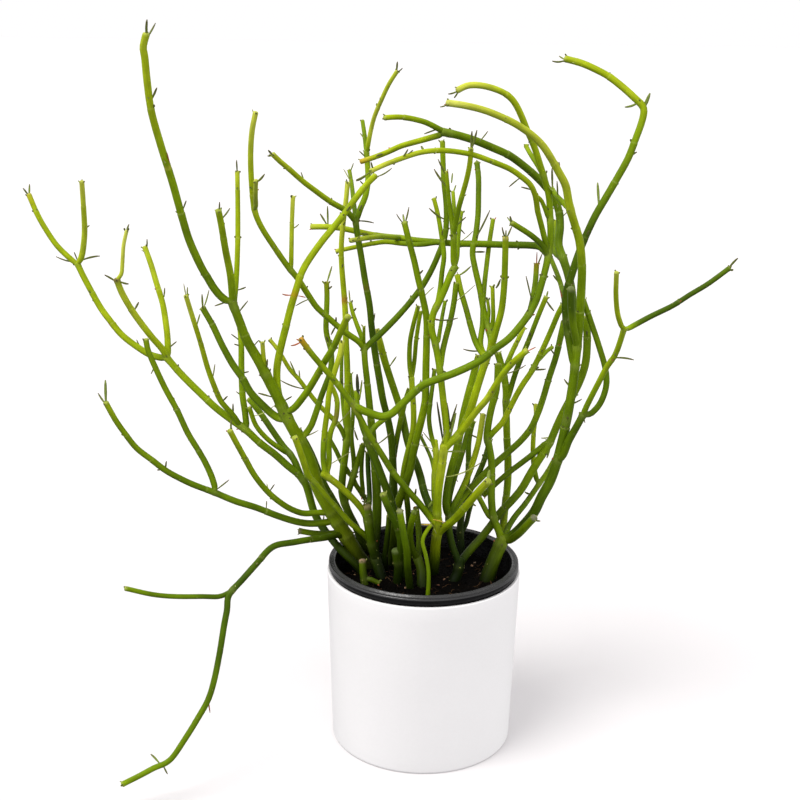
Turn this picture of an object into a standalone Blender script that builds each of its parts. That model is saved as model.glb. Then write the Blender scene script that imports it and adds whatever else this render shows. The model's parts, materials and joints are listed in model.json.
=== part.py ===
"""Pencil cactus in a black grower pot that stands inside a white cylindrical cover pot."""
import math

import bmesh
import bpy
import numpy as np
from mathutils import Vector

# Pots and soil, in mm
COVER_HEIGHT = 188.4
COVER_TOP_RADIUS = 101.4
COVER_FOOT_RADIUS = 95.8
COVER_WALL = 4.0
COVER_FLOOR = 5.0
COVER_LIP_ROUNDING = 0.9
COVER_FOOT_BEVEL = 2.8
FIT_GAP = 0.3
GROWER_RIM_TOP = 198.9
GROWER_RIM_RADIUS = 100.0
GROWER_RIM_DEPTH = 10.0
GROWER_MOUTH_RADIUS = 92.2
GROWER_NECK_RADIUS = 93.4
GROWER_BASE_RADIUS = 78.0
GROWER_WALL = 1.6
DRAIN_HOLES = 6
DRAIN_HOLE_RADIUS = 5.0
DRAIN_CIRCLE_RADIUS = 58.0
SOIL_TOP = 176.0
SOIL_DOME = 1.0
TURNED_STEPS = 40

# Where each rooted stem enters the soil, in mm to the right of and behind the pot's axis
FEET = {
    "left_trunk": (-56, 22),
    "far_left": (-64, 4),
    "fork_stem": (-43, -6),
    "pale_stem": (-42, 48),
    "tall_stem": (-14, 44),
    "lean_stem": (-20, -2),
    "centre_trunk": (10, 8),
    "vee_stem": (31, -10),
    "right_trunk": (66, -8),
    "plain_stem": (-33, 30),
    "thin_stem": (-33, 56),
    "stub_fork": (-2, -28),
    "tan_stub": (-14, -32),
    "round_stub": (-27, -18),
    "front_stub": (-60, -26),
    "slim_stem": (-40, 14),
    "front_shoot": (3, -60),
    "back_stem": (42, 52),
}
BURIED = 30.0
HOLE_CLEARANCE = 0.9
HOLE_SIDES = 8

# The eye that the stems were drawn from: focal length and centre in drawing units, the rest in mm and degrees
EYE_FOCAL = 1300.0
DRAWING_CENTRE = 400.0
EYE_PITCH = math.radians(16.03)
EYE_ROLL = math.radians(0.71)
EYE_DISTANCE = 1323.13
EYE_TARGET = np.array([-26.94, 0.0, 371.89])

# Tube shapes
DRAWING_STEP = 6.0
DEPTH_SMOOTHING = 25
STRAIGHT_WITHIN = 0.8
TUBE_SIDES_LEVEL = 1
ROOT_SHARE = 0.8
ROOT_GROWTH = 8.0
TIP_REACH = 0.55
TIP_SHARE = 0.62
MM = 0.001

# Each rooted stem with its branches. A branch names the branch that it leaves, its radius in mm at foot and
# tip, and its route from foot to tip: across and down in the drawing, and at some points how far behind the
# pot's axis it lies, in mm.
STEMS = {
    "left_trunk": {
        "trunk": (None, 8.4, 4.2, [
            (368, 574), (361, 560), (352, 546), (343, 531, 20), (334, 516), (325, 501), (317, 485),
            (312, 468), (306, 452), (296.5, 435), (287, 417.5), (279, 400, -15), (270, 383), (260, 363),
            (247, 340.5), (239, 320), (231.6, 301, -40)]),
        "long_left": ("trunk", 3.9, 3.2, [
            (233, 304), (226.5, 300.5), (220.5, 296), (213.5, 287.5), (207.5, 277.5), (201, 266.5),
            (189.5, 241), (181.5, 215), (173.5, 186), (168.3, 169), (161, 146), (151.5, 112), (147.3, 83),
            (144.7, 57), (143.2, 47), (146, 35, -95)]),
        "tine_a": ("trunk", 3.6, 3.1, [
            (233, 304), (230.5, 276), (225.5, 250), (221.5, 226), (218.5, 211, -75)]),
        "tine_b": ("trunk", 2.8, 2.3, [
            (234, 304), (236, 283), (237.2, 260), (237.8, 234), (237.8, 206), (237.3, 172, -10)]),
        "hoop": ("trunk", 3.9, 3.2, [
            (281, 404), (277.5, 388), (277, 368), (280.5, 348.5), (285.5, 328.5), (291, 306.5),
            (296.5, 288.5), (302, 272, -3), (310, 258), (323, 240), (333, 228), (341, 218), (350, 206),
            (358, 195), (367, 184), (375, 176, 45)]),
        "spur_right": ("trunk", 3.6, 3.3, [
            (285, 413), (294, 408), (302, 398.5), (309.5, 388), (317.5, 374.5), (325, 361), (333, 348),
            (340, 333), (346, 320), (348, 317, -70)]),
        "kinked": ("trunk", 3.4, 2.8, [
            (299, 442), (304, 435.5), (311, 426), (316.5, 411), (321, 397), (326, 384), (330, 373),
            (331.5, 361), (330.5, 348), (327.5, 338), (326, 328), (326.5, 312), (327, 296),
            (326.5, 283, 48)]),
        "shoulder": ("trunk", 4.2, 3.2, [
            (287, 421), (275, 416), (264, 406.5), (251, 393), (243, 379), (232.5, 364), (222, 345),
            (213, 326), (203, 308.5, 15)]),
        "twin_dark": ("trunk", 4.6, 4.2, [
            (346, 533), (341, 516), (333, 501), (325, 487), (318.5, 473), (313, 459), (306.5, 445.5),
            (298, 431, 36)]),
        "knuckle": ("trunk", 2.5, 2.2, [(266, 372), (263.5, 357), (262.5, 343, -30)]),
        "low_left": ("trunk", 3.8, 2.8, [
            (337, 520), (325, 522.5), (310, 523.5), (296, 521.5), (278, 516), (256, 507.5), (235, 501),
            (214.5, 492.5), (203, 488.3), (188, 482.3), (167, 471.3), (152, 460), (136.5, 448),
            (125, 433.5), (115.5, 420), (106, 403, -60)]),
        "low_side": ("low_left", 3.3, 2.9, [
            (216, 492), (212, 477.5), (205, 462), (197.5, 449), (187.5, 432.5), (177, 410), (165, 388),
            (154, 364.5), (148, 350), (146, 340, -5)]),
        "low_second": ("trunk", 3.3, 2.9, [
            (332, 513), (320, 512.5), (305.5, 513.5), (295.5, 511), (284, 505), (269, 493), (255, 476),
            (245, 458.5), (237.5, 445), (230, 431, -45)]),
        "blunt_side": ("trunk", 3.4, 3.1, [
            (347, 534), (336, 533), (325, 533.8), (313, 533.2), (300, 531, 10)]),
        "droop": ("trunk", 3.5, 2.8, [
            (345, 536), (336, 535), (326, 537.5), (310, 539.5, -20), (292, 542.5), (277, 545), (268, 550.5),
            (258, 562), (242, 580), (229, 595, -85), (227, 610), (224, 626), (219.6, 653.5), (214, 681),
            (208, 700), (198, 718), (185, 739), (170, 760, -150), (154, 768), (139, 776),
            (123, 784, -165)]),
        "droop_arm": ("droop", 2.6, 2.4, [
            (231, 592), (219, 596.5), (203, 596.5), (176, 596.5), (153, 594.5), (126, 588.6, -120)]),
    },
    "far_left": {
        "main": (None, 4.2, 3.8, [
            (365, 576), (358, 567, 0), (349, 558, -3), (340, 549, -2), (330, 537), (321, 525, 42), (314, 512), (310, 498),
            (306, 485), (299, 475), (288, 466), (274.5, 454), (260, 443), (245.5, 429.5), (232.5, 420.5),
            (215.5, 407.5), (198, 391), (181, 374), (167, 358, 85)]),
        "outer": ("main", 3.8, 3.3, [
            (168, 359), (151, 355), (136, 346), (121.5, 334.5), (110, 320.5), (100.5, 307.5), (92, 292.5),
            (83, 275.5), (77.5, 264, 110)]),
        "outer_tip": ("outer", 3.1, 2.9, [
            (78, 265), (68.5, 257), (56.5, 245), (45, 228), (37, 213.5), (29, 195, 125)]),
        "outer_up": ("outer", 3.3, 2.6, [
            (78, 265), (82, 255), (84, 241), (84.6, 228), (83.5, 206.6), (81.8, 182, 90)]),
        "fork_left": ("main", 3.6, 3.4, [
            (168, 359), (161.5, 348), (153, 338.5), (140.5, 322.5), (130.8, 308.5), (121.5, 292),
            (117, 280, 60)]),
        "fork_thin": ("fork_left", 2.2, 2.0, [
            (118, 282), (121.4, 274), (122.6, 260), (123.6, 245), (126.6, 231, 55)]),
        "fork_up": ("main", 3.6, 3.0, [
            (168, 359), (167.5, 338), (165.5, 320.5), (162.5, 303), (156.5, 283), (151, 264.5),
            (145, 247.5, 130)]),
        "fine_up": ("main", 3.2, 2.5, [
            (241, 427), (232.5, 414.5), (221.5, 402), (215, 388), (208, 369), (200, 341), (192.5, 317),
            (186, 296, 35)]),
        "upright": ("main", 3.6, 3.2, [
            (247, 432), (245, 412), (242.5, 395), (241.5, 372), (241.3, 346), (240.5, 330, 95)]),
        "pair_a": ("main", 3.7, 3.3, [
            (301, 478), (296, 464), (290, 454), (283.5, 446.5), (273, 431.5), (261, 414),
            (249.5, 399.5, 105)]),
        "pair_b": ("pair_a", 2.9, 2.5, [
            (291, 455.5), (281, 449), (268, 439.5), (256, 425.5), (249.5, 408, 65)]),
    },
    "fork_stem": {
        "main": (None, 5.8, 3.0, [
            (379, 577), (376, 560), (374, 546, 12), (376.5, 525), (377, 500), (376, 480), (374.5, 460),
            (373, 440), (371, 420), (369, 400), (367, 380), (365, 362), (364, 345, 30)]),
        "node": ("main", 5.0, 4.9, [(377, 562), (373, 549), (370, 534), (368, 520), (366.8, 507, -6)]),
        "dark_back": ("node", 2.8, 2.6, [(368, 513), (369.5, 500), (369, 484), (368, 467), (367.8, 453, 30)]),
        "arm_low": ("node", 3.1, 2.9, [
            (371.5, 542), (366, 536.5), (359, 530), (350, 522.5), (340, 511.5), (330, 500.5), (321, 490),
            (313, 481), (307, 476, -28)]),
        "arm_high": ("node", 3.4, 3.5, [
            (368.5, 523), (363, 511), (355, 501), (345, 491), (334, 481.5), (323, 474, -20)]),
        "arm_cap": ("arm_low", 3.6, 3.2, [
            (313, 482), (308, 475), (304, 463), (299.5, 450), (295, 438, -45)]),
        "twin_a": ("arm_high", 3.0, 2.8, [
            (326, 477), (323.5, 462), (323.5, 445), (325, 428), (327.5, 410), (329, 394), (333, 378),
            (337, 364), (340.5, 352), (341.5, 342, -10)]),
        "twin_b": ("arm_high", 3.0, 2.6, [
            (326, 477), (329, 462), (329, 445), (331, 431), (336, 418), (337, 400), (332.5, 388, 25)]),
        "swan_left": ("main", 3.3, 2.6, [
            (364.5, 348), (358, 341), (350, 335.5), (340, 328), (328, 317.5), (317, 307.5), (308, 294.5),
            (298, 279), (287, 265.5), (274.8, 248), (262.5, 229), (256, 215), (253.3, 202), (251.5, 182),
            (250.6, 160), (251, 143), (252.5, 128), (255.5, 113, -30)]),
        "swan_shoot": ("swan_left", 2.4, 2.2, [(256, 211), (255.5, 195), (256, 181, -55)]),
        "swan_upright": ("swan_left", 2.4, 2.2, [(291, 270), (291.5, 245), (292, 220), (293, 197, 5)]),
        "swing_right": ("main", 3.3, 2.8, [
            (364.5, 348), (374.5, 339.5), (385.5, 329), (398.5, 315.5), (411.5, 300.5), (423, 285),
            (432, 269), (439, 253), (444.5, 238), (446.5, 220), (446, 202), (444, 182), (443, 160),
            (442.5, 142, 85)]),
        "peg": ("main", 1.7, 1.5, [(364, 347), (364, 327, 22)]),
        "back_left": ("main", 2.8, 2.0, [
            (364.5, 348), (362, 338), (357, 325), (352.5, 312), (350.5, 303, 50)]),
    },
    "pale_stem": {
        "main": (None, 4.6, 2.6, [
            (374, 564), (366, 547, 46), (356, 527, 48), (347, 509), (342, 492), (343, 472), (345.5, 452),
            (347.5, 430), (347, 405), (347.5, 385), (347, 362), (346, 340), (345.5, 318), (344.5, 300, 108),
            (343, 282), (341.5, 262), (341.5, 242), (343.5, 220), (346, 200), (347.5, 183, 112)]),
        "crossing": ("main", 2.9, 2.2, [
            (346.5, 441), (340, 427), (330, 416), (318, 404), (306.5, 389.5), (299, 379.5), (290, 369.5),
            (283, 358), (277, 348.5), (270, 340, 75)]),
        "stub_top": ("main", 3.6, 3.2, [
            (345, 502), (349, 490), (353, 477), (357.5, 462), (362.5, 446, 85)]),
        "thin_up": ("stub_top", 2.9, 1.8, [
            (354, 474), (354, 462), (352.5, 449), (351.5, 435), (353, 415), (352.5, 396), (351, 384),
            (350.5, 374, 120)]),
        "cross_low": ("stub_top", 2.8, 2.3, [
            (352.5, 479), (346.5, 469), (341, 461), (336.5, 451.5), (331, 441.5), (325, 431, 92)]),
        "cross_foot": ("stub_top", 2.8, 2.6, [
            (352.5, 479), (358, 488), (363, 495.5), (367.5, 502, 66)]),
        "back_a": ("cross_foot", 2.5, 2.4, [
            (364, 497), (362.5, 487), (361.5, 473), (362, 458), (363.5, 444, 75)]),
        "dark_side": ("main", 2.4, 2.0, [
            (346, 430), (344, 415), (342.5, 400), (341.5, 384), (341.5, 366), (342, 348, 118)]),
    },
    "tall_stem": {
        "main": (None, 4.4, 3.2, [
            (404, 563), (400, 540), (396, 515), (394, 490), (393, 465), (391.5, 440), (388, 420),
            (383, 400), (379.5, 380), (375.5, 356), (372, 330), (369.5, 305), (365, 280), (361, 255),
            (357.5, 235), (355, 217, 95)]),
        "arm_left": ("main", 3.2, 2.7, [
            (356, 221), (345.5, 210.5), (331, 202), (315, 190.5), (302, 180.5), (288.5, 168.5),
            (278.5, 160), (273, 154.5, 40)]),
        "riser": ("main", 3.3, 2.9, [
            (356, 221), (361, 207), (365.5, 196), (368, 180), (367.5, 165), (366.5, 152, 120)]),
        "riser_a": ("riser", 2.6, 2.2, [(366.6, 155), (364.8, 137), (362.5, 121, 140)]),
        "riser_b": ("riser", 2.5, 2.2, [
            (366.6, 155), (369.5, 137), (374, 118), (381, 101), (389, 84), (397, 71.5, 95)]),
        "leaning_up": ("main", 2.7, 2.2, [(356, 221), (353.5, 200), (351.5, 183), (349.5, 171, 160)]),
    },
    "lean_stem": {
        "main": (None, 4.8, 4.0, [
            (405, 580), (404.5, 560), (402, 545), (398, 528), (394, 512), (389, 496), (383, 480),
            (377, 464), (371, 450), (366.5, 438, -5)]),
        "right_tip": ("main", 3.2, 2.7, [(368, 442), (372, 431), (378, 424), (384.5, 419, 8)]),
        "left_tip": ("main", 3.3, 2.8, [
            (367.5, 440), (363, 428), (359.5, 416), (357, 404), (356.5, 392, 20)]),
    },
    "centre_trunk": {
        "main": (None, 6.0, 4.6, [(435, 574), (434.5, 560), (435.5, 545), (437.5, 530), (438, 519, -12)]),
        "pale_arm": ("main", 4.3, 3.8, [
            (436.5, 534), (443, 528), (452, 521.5), (461, 512), (470, 501.5), (479, 491),
            (488, 481.5, -55)]),
        "bright": ("main", 4.6, 4.2, [
            (437.5, 523), (437, 508), (438, 492), (440.5, 474), (443, 458), (444, 446, -25)]),
        "bright_right": ("bright", 4.2, 3.9, [
            (443.5, 450), (450, 442.5), (458, 435.5), (465, 423), (471, 408), (476, 391), (481, 375),
            (487, 356, -20)]),
        "needle_fan": ("bright_right", 3.5, 3.1, [
            (459, 434), (467, 424), (477, 410.5), (487, 399), (495, 386), (503, 374), (512, 363.5),
            (526, 351, -70)]),
        "upright": ("bright", 3.4, 3.4, [
            (443.5, 450), (446.5, 436), (445.5, 420), (443.5, 402), (441.5, 384), (439, 364), (435.5, 345),
            (431.5, 328), (433.5, 313), (439.5, 301), (445.5, 287.5), (450, 276), (455, 267, -10)]),
        "upright_tip": ("upright", 3.3, 1.8, [
            (454, 269), (453.5, 252), (453.5, 236), (452, 220), (449.5, 205), (448, 190),
            (446.5, 172, -20)]),
        "upright_side": ("upright_tip", 2.7, 2.4, [
            (453.5, 236), (457, 215), (462, 196), (467, 178), (470, 162), (471, 149, -45)]),
        "upright_short": ("upright_tip", 2.2, 1.8, [(452.5, 224), (454, 210), (453, 192, 5)]),
        "upright_back": ("upright", 2.4, 2.0, [
            (453, 271), (457, 258), (458, 242), (459.5, 226), (461.5, 212, 20)]),
        "whip": ("upright", 2.7, 2.2, [
            (437, 306), (440, 290), (442, 272), (444, 255), (441.5, 236), (438, 215), (434, 199, 20)]),
        "rib_a": ("upright", 3.0, 2.8, [
            (440.5, 368), (442.5, 352), (446, 337), (450.5, 320), (454, 302), (456, 284, 22)]),
        "rib_b": ("upright", 2.2, 1.9, [(437.5, 346), (440, 330), (442.5, 315), (445, 302, 28)]),
        "step_a": ("bright_right", 3.2, 2.9, [
            (486.5, 359), (477, 345), (471.5, 329), (466, 308.5), (461, 291.5), (457.5, 276, 30)]),
        "step_b": ("bright_right", 3.0, 2.3, [
            (487, 360), (480.5, 345), (482.5, 325), (483, 305), (484.5, 284), (487, 262), (489.5, 242),
            (493, 220, 62)]),
        "step_c": ("bright_right", 3.3, 2.9, [
            (487, 360), (491, 342), (488, 327), (484, 312), (480, 290), (475, 268), (472.5, 252),
            (475.5, 236), (478, 215), (478.5, 195), (478.5, 178), (477, 163, 92)]),
        "step_d": ("bright_right", 3.4, 3.0, [
            (486.5, 359), (492, 345), (496.5, 329), (501.5, 310), (504, 288), (505, 264),
            (505.6, 238, -40)]),
        "peg_a": ("step_c", 2.3, 2.0, [(490, 334), (493, 320), (493, 305), (492.5, 287, 0)]),
        "peg_b": ("step_c", 1.9, 1.6, [(487.5, 325), (489, 312), (487.5, 300, 10)]),
        "companion": ("bright", 3.4, 3.0, [
            (437.5, 515), (434.5, 496), (434.5, 476), (436, 457), (435, 441, 12)]),
        "companion_up": ("companion", 2.6, 2.2, [
            (435.5, 450), (431, 434), (429, 418), (430.5, 402), (432.5, 386), (434.5, 370, 30)]),
        "dark_left": ("main", 4.2, 3.9, [
            (438, 524), (431, 509), (424.5, 493), (420.5, 477), (416, 463), (411, 452), (407, 439),
            (404.5, 427, 84), (401.5, 413, 88), (397, 398.5), (390, 377.5), (384.5, 360), (380.5, 345),
            (376.5, 331, 95)]),
        "dark_thin": ("companion", 2.0, 1.8, [(434.5, 474), (431.5, 460), (427, 449), (421, 437, 55)]),
        "diagonal": ("main", 3.5, 3.0, [
            (437, 526), (429.5, 516.5), (420.5, 505), (410.5, 493.5), (401, 482.5), (391.5, 470), (383, 456.5),
            (374, 442.5), (366, 429.5), (359, 416), (352, 403.5), (344, 393), (335, 381), (322, 366),
            (311, 353), (301, 339.5, -60)]),
        "long_arch": ("diagonal", 4.0, 3.0, [
            (353, 404), (361, 409.5), (371, 413.5), (382, 416.5), (391, 414, -40), (400, 406), (411, 395.5),
            (423, 385), (438, 379), (452, 374), (468, 367), (482.5, 359), (495.5, 348.5, -45), (509, 338.5),
            (520.5, 325.5), (529, 314), (536, 301), (542, 282), (547, 262), (550.5, 240), (550, 215),
            (549, 197, 10), (545, 181), (539.5, 163), (534, 146), (527.5, 131), (521, 115), (514.5, 102.5),
            (506.5, 94.5), (495, 89), (481, 85.5), (468, 85.5), (458, 90, -35)]),
        "arch_low": ("long_arch", 2.9, 2.4, [
            (548.5, 252), (545, 240), (541.5, 226), (537.5, 210), (535.5, 196.5), (530.5, 185),
            (521, 176.5), (510, 169), (492, 161.5), (474, 155), (455, 151.5), (438, 150.5), (420, 152.5),
            (402.5, 158), (385, 164.5), (371, 171, -70)]),
        "rail": ("long_arch", 3.6, 3.1, [
            (548, 256), (541, 247.5), (530, 245.3), (507.6, 244.8), (482, 244), (456.5, 243.5), (437, 242),
            (418, 240.5), (400, 238), (385, 236.5, 116), (370, 234.3), (355, 231), (340, 228), (326, 226.8),
            (312, 226.8, 138)]),
        "rail_mid": ("rail", 2.8, 2.5, [(402, 238), (384, 236.8), (367, 238), (351, 240.5, 20)]),
        "rail_low": ("rail", 2.8, 2.5, [
            (441, 241.5), (421, 244.5), (402, 243.5), (386, 241.8), (370, 244), (353, 247.5),
            (337, 251, 130)]),
        "rail_shoot": ("long_arch", 3.0, 2.7, [
            (548.5, 254), (540, 243), (530, 234.5), (520, 228), (512, 223, -25)]),
        "cup_shoot": ("long_arch", 3.0, 2.7, [(530, 312), (533, 298), (535.5, 281), (536.5, 265, 15)]),
        "thumb": ("long_arch", 2.5, 2.3, [(544, 177), (538, 166), (531, 155), (526, 146, 35)]),
        "arch_thread": ("long_arch", 2.3, 2.0, [(549.3, 222), (545.5, 210), (541, 200), (537, 196.5, -2)]),
    },
    "vee_stem": {
        "main": (None, 6.0, 5.0, [(455, 588), (457, 574), (460, 560, -2)]),
        "left": ("main", 3.8, 3.5, [(460, 565), (454.5, 552), (450.5, 538), (448.5, 524), (449, 512, 12)]),
        "fan_a": ("left", 4.2, 3.7, [
            (449, 518), (446, 505), (447.5, 488), (451, 470), (456, 452), (460, 434), (463, 416),
            (467, 399), (471, 384), (475, 369), (478.5, 357, 32)]),
        "fan_b": ("left", 3.5, 3.1, [
            (449, 515), (455, 503), (460, 493.5), (465.5, 482), (470, 470), (473.5, 460), (476.5, 450),
            (479, 440), (481, 428), (483, 415, 55)]),
        "fan_d": ("left", 3.0, 2.8, [
            (449, 513), (449.5, 498), (453, 483), (457, 470), (460.5, 459), (463.5, 448), (466, 438),
            (469, 428, 50)]),
        "fan_e": ("left", 3.2, 3.0, [
            (449, 514), (458, 503.5), (467, 495), (474, 483.5), (479, 472.5), (483.5, 462), (487, 451),
            (489.5, 441, 72)]),
        "fan_c": ("left", 3.7, 3.5, [
            (448.7, 519), (457, 505), (467, 492.5), (477, 481.5, 38), (487, 471.5), (497, 462, 56),
            (509, 451.5), (521, 440.5), (531, 428), (537.5, 414), (543, 398.5), (549, 378), (556, 356.5),
            (561.5, 333), (564, 322, 105)]),
        "right": ("main", 4.3, 4.2, [
            (458.5, 566), (464, 557.5), (471, 549), (481, 538), (490.5, 526, 34), (500, 513), (511, 501.5),
            (521.5, 489), (530.5, 473.5), (540, 458), (549.5, 443), (556, 428), (562, 415), (568.5, 402.5),
            (575, 391), (581, 378), (585.5, 363), (587, 347), (587, 331), (585.5, 318, 75)]),
        "slim": ("right", 3.2, 2.9, [
            (549.5, 440), (537.5, 450.5), (524, 461), (509.5, 472), (496, 483.5), (484, 495, 48)]),
    },
    "right_trunk": {
        "main": (None, 8.0, 6.6, [(484, 584), (491, 567), (497, 552), (503, 539, 8)]),
        "upright": ("main", 4.2, 3.7, [
            (502, 543), (498.5, 530), (493.5, 518), (491.5, 500), (491.5, 482), (491.5, 462), (488.8, 445),
            (487, 436), (489, 420), (492, 406), (496, 392), (497.5, 378), (498, 365, 62)]),
        "upright_fork": ("upright", 3.2, 2.9, [
            (487.5, 440), (493, 432.5), (502, 423), (509.5, 409), (516, 396), (523, 384), (531.5, 371.5),
            (538.5, 358), (546, 342), (553, 326), (558, 314), (562.5, 306, 50)]),
        "fork_leaf": ("upright_fork", 2.4, 2.1, [(532, 367), (541, 357.5), (547, 351), (552, 347.5, 85)]),
        "side": ("upright", 3.0, 2.8, [(493, 521), (487, 512.5), (482.5, 504), (479, 497.5, 30)]),
        "dark": ("main", 4.2, 3.8, [
            (503.5, 541), (503.5, 524, 42), (505, 507, 60), (507.5, 485, 72), (508, 462, 80), (507, 440),
            (506.5, 420), (506, 402), (506, 388), (502.5, 370), (498, 354, 100)]),
        "dark_fork": ("dark", 3.1, 2.7, [
            (506, 404), (510, 391), (514.5, 376), (520, 361), (526, 347), (532, 332), (537, 319),
            (541.5, 308), (546, 297.5, 110)]),
        "dark_short": ("dark", 3.0, 2.7, [
            (503.5, 376), (507, 364), (513, 350), (519, 338), (523.5, 328, 135)]),
        "stub": ("main", 4.3, 3.9, [(504, 542), (513, 538), (520.5, 532), (527.5, 524.5), (534, 518, -20)]),
        "inner": ("main", 3.3, 2.8, [
            (504, 540), (508, 528), (515, 516.5), (523.5, 506), (531.5, 495), (539, 484), (546.5, 473.5),
            (553, 462, 85)]),
        "thin_up": ("inner", 2.9, 2.5, [
            (538.5, 485), (535.5, 475), (533.5, 462), (533, 446), (534, 430), (536, 415),
            (535.5, 405, 100)]),
        "arch": ("main", 5.6, 3.0, [
            (503.5, 541), (514.5, 534), (525, 523.5), (534.5, 511.5, -5), (541.5, 497), (550, 481.5),
            (556, 465.5), (560.5, 448), (564.5, 431), (568, 414), (570.5, 399), (573, 383), (575, 366),
            (577, 347), (579, 327), (580.3, 308, -10), (581.3, 289), (582, 270), (581, 253), (579, 239),
            (575, 225), (570.5, 210), (568, 198), (565.5, 185), (559, 172.5), (551.5, 159), (543, 146),
            (533, 136), (522, 128), (509, 120.5), (486.5, 111), (465, 105.5), (448, 103, -90)]),
        "arch_side": ("arch", 2.9, 2.5, [(570, 208), (563, 202.5), (557.5, 197), (552.5, 189.5, 10)]),
        "far_arch": ("arch", 4.1, 3.4, [
            (574.5, 368), (571, 350), (567.5, 328), (565.5, 308), (567, 291), (571, 277), (575.5, 263),
            (581, 247.5), (588, 231), (596, 214.5), (606, 197.5), (617, 178.5), (628, 158.5), (636, 138),
            (642, 121), (643.5, 108), (634.6, 98), (622.5, 87), (609, 76.6), (595, 69), (581, 63),
            (566, 59, 60)]),
        "back_arch": ("far_arch", 4.4, 3.9, [
            (568, 332), (572, 310), (571.5, 291), (568, 274), (563, 258.5), (558.5, 244), (560, 230),
            (559.5, 215), (555, 200, 85), (546, 187), (535, 175.5), (522, 164.5), (508.5, 155),
            (492, 147.5), (475, 140.5), (457, 135), (443, 132, 25)]),
        "back_arch_up": ("back_arch", 3.0, 2.6, [
            (447, 133), (438, 128.5), (426, 122.5), (411, 118.5), (398, 117), (385, 117.7, 0)]),
        "back_arch_low": ("back_arch", 3.1, 2.6, [
            (446, 133), (433, 137), (418, 141.2), (401, 146), (389, 151.5), (375, 157),
            (361.5, 161.5, 60)]),
        "back_inner": ("back_arch", 3.2, 2.8, [(562, 258), (555, 252), (553.5, 238), (554.5, 222, 105)]),
        "far_back": ("far_arch", 2.8, 2.5, [
            (566.5, 318), (564, 300), (561, 285), (556, 271), (551, 259, 95)]),
        "cut_stub": ("arch", 3.9, 3.6, [(577, 345), (574, 330), (571.5, 312), (571, 289, -40)]),
        "outer": ("arch", 4.3, 3.8, [(556, 462), (563, 454.5), (568, 442), (575, 429.5), (583, 415, -25)]),
        "outer_fork": ("outer", 3.0, 2.8, [
            (582, 417), (587, 405.5), (593, 393.5), (599.5, 381), (606.5, 367.5), (615, 355), (620, 342),
            (624, 329, -60)]),
        "outer_up": ("outer_fork", 2.6, 2.3, [(623.5, 331), (618, 315.5), (616, 296), (616.5, 273, -90)]),
        "outer_right": ("outer_fork", 2.8, 2.5, [
            (623.5, 331), (637.5, 323.5), (651.5, 316), (673, 305.5), (689.5, 295), (708.5, 283.5),
            (729, 268.5, -40)]),
        "outer_loop": ("outer", 3.2, 3.0, [
            (582, 417), (590, 414), (598, 406.5), (603.5, 396), (606.5, 383), (605, 367), (600, 349.5),
            (594, 331), (588.5, 315), (583.5, 301, 0)]),
    },
    "plain_stem": {
        "main": (None, 4.8, 3.0, [
            (391, 571), (393, 545), (395, 520), (399, 501), (405, 485), (410, 470), (413, 454),
            (417, 437), (421.5, 419), (425, 402.5), (425.7, 385), (426, 366), (426.6, 340), (426.5, 318),
            (422.5, 297), (418, 278), (414, 260), (409, 241), (404.5, 223, 25)]),
        "ladder": ("main", 3.2, 3.0, [
            (404.5, 487), (403, 478), (404, 470), (405.5, 462), (409, 447.5), (412, 436), (413.5, 424),
            (413.5, 408), (412.5, 392), (411.5, 378, 50)]),
        "dark_mid": ("main", 3.2, 3.0, [
            (404.5, 487), (406.5, 497), (408, 510), (409, 525), (410.5, 541), (411, 555, 33)]),
        "ladder_a": ("ladder", 2.7, 2.3, [
            (411.5, 380), (409.5, 362), (410, 342), (413.5, 324), (418, 307, 40)]),
        "ladder_b": ("ladder", 2.4, 2.2, [
            (411.5, 380), (414.5, 360), (416, 342), (418.5, 324), (420.5, 312, 65)]),
    },
    "thin_stem": {
        "main": (None, 3.6, 2.8, [
            (391, 560), (391, 535), (391, 508), (392, 482), (393.5, 460), (396.5, 441), (400.5, 421),
            (405, 402), (409, 390, 75)]),
    },
    "stub_fork": {
        "main": (None, 5.2, 4.6, [(423, 586), (421, 570), (416, 554, 0)]),
        "small": ("main", 3.6, 3.2, [
            (417, 558), (411.5, 546), (410, 534), (411.5, 523), (414.5, 512, -22)]),
        "dark": ("main", 3.6, 3.2, [(418, 562), (419.5, 545), (418.5, 528), (416, 508, 20)]),
    },
    "tan_stub": {
        "main": (None, 3.9, 3.4, [
            (408, 589), (407.5, 566), (407, 552, -44), (404.5, 538), (402, 524), (399.7, 511, -50)]),
    },
    "round_stub": {
        "main": (None, 5.0, 4.8, [(398, 584), (398.5, 568), (396, 551, -24)]),
        "left": ("main", 4.2, 3.7, [
            (399, 560), (401, 548), (400, 536), (396, 524), (390, 511), (386, 502), (383.3, 494.5, -40)]),
    },
    "front_stub": {
        "main": (None, 4.1, 3.8, [(364, 586), (363.3, 573), (362.6, 561, -20)]),
        "side": ("main", 3.0, 2.6, [(364.5, 577), (369.5, 579), (374, 581), (378.5, 583, -27)]),
    },
    "slim_stem": {
        "main": (None, 3.2, 2.8, [(383, 576), (385, 558), (386.7, 542), (388, 530), (389, 516, 5)]),
    },
    "front_shoot": {
        "main": (None, 2.2, 1.9, [
            (427, 601), (428.5, 585), (428.3, 570), (425.5, 554), (422.5, 542), (425.5, 533),
            (431, 525, -45)]),
    },
    "back_stem": {
        "main": (None, 4.0, 2.8, [
            (463, 560), (461, 545), (460, 528), (463, 508), (466, 490), (468, 475), (468.5, 460),
            (468.5, 447), (470, 434), (473, 422, 118)]),
        "side": ("main", 2.8, 2.5, [(460.5, 534), (466, 524), (469, 512), (473, 498, 95)]),
    },
}

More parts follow.
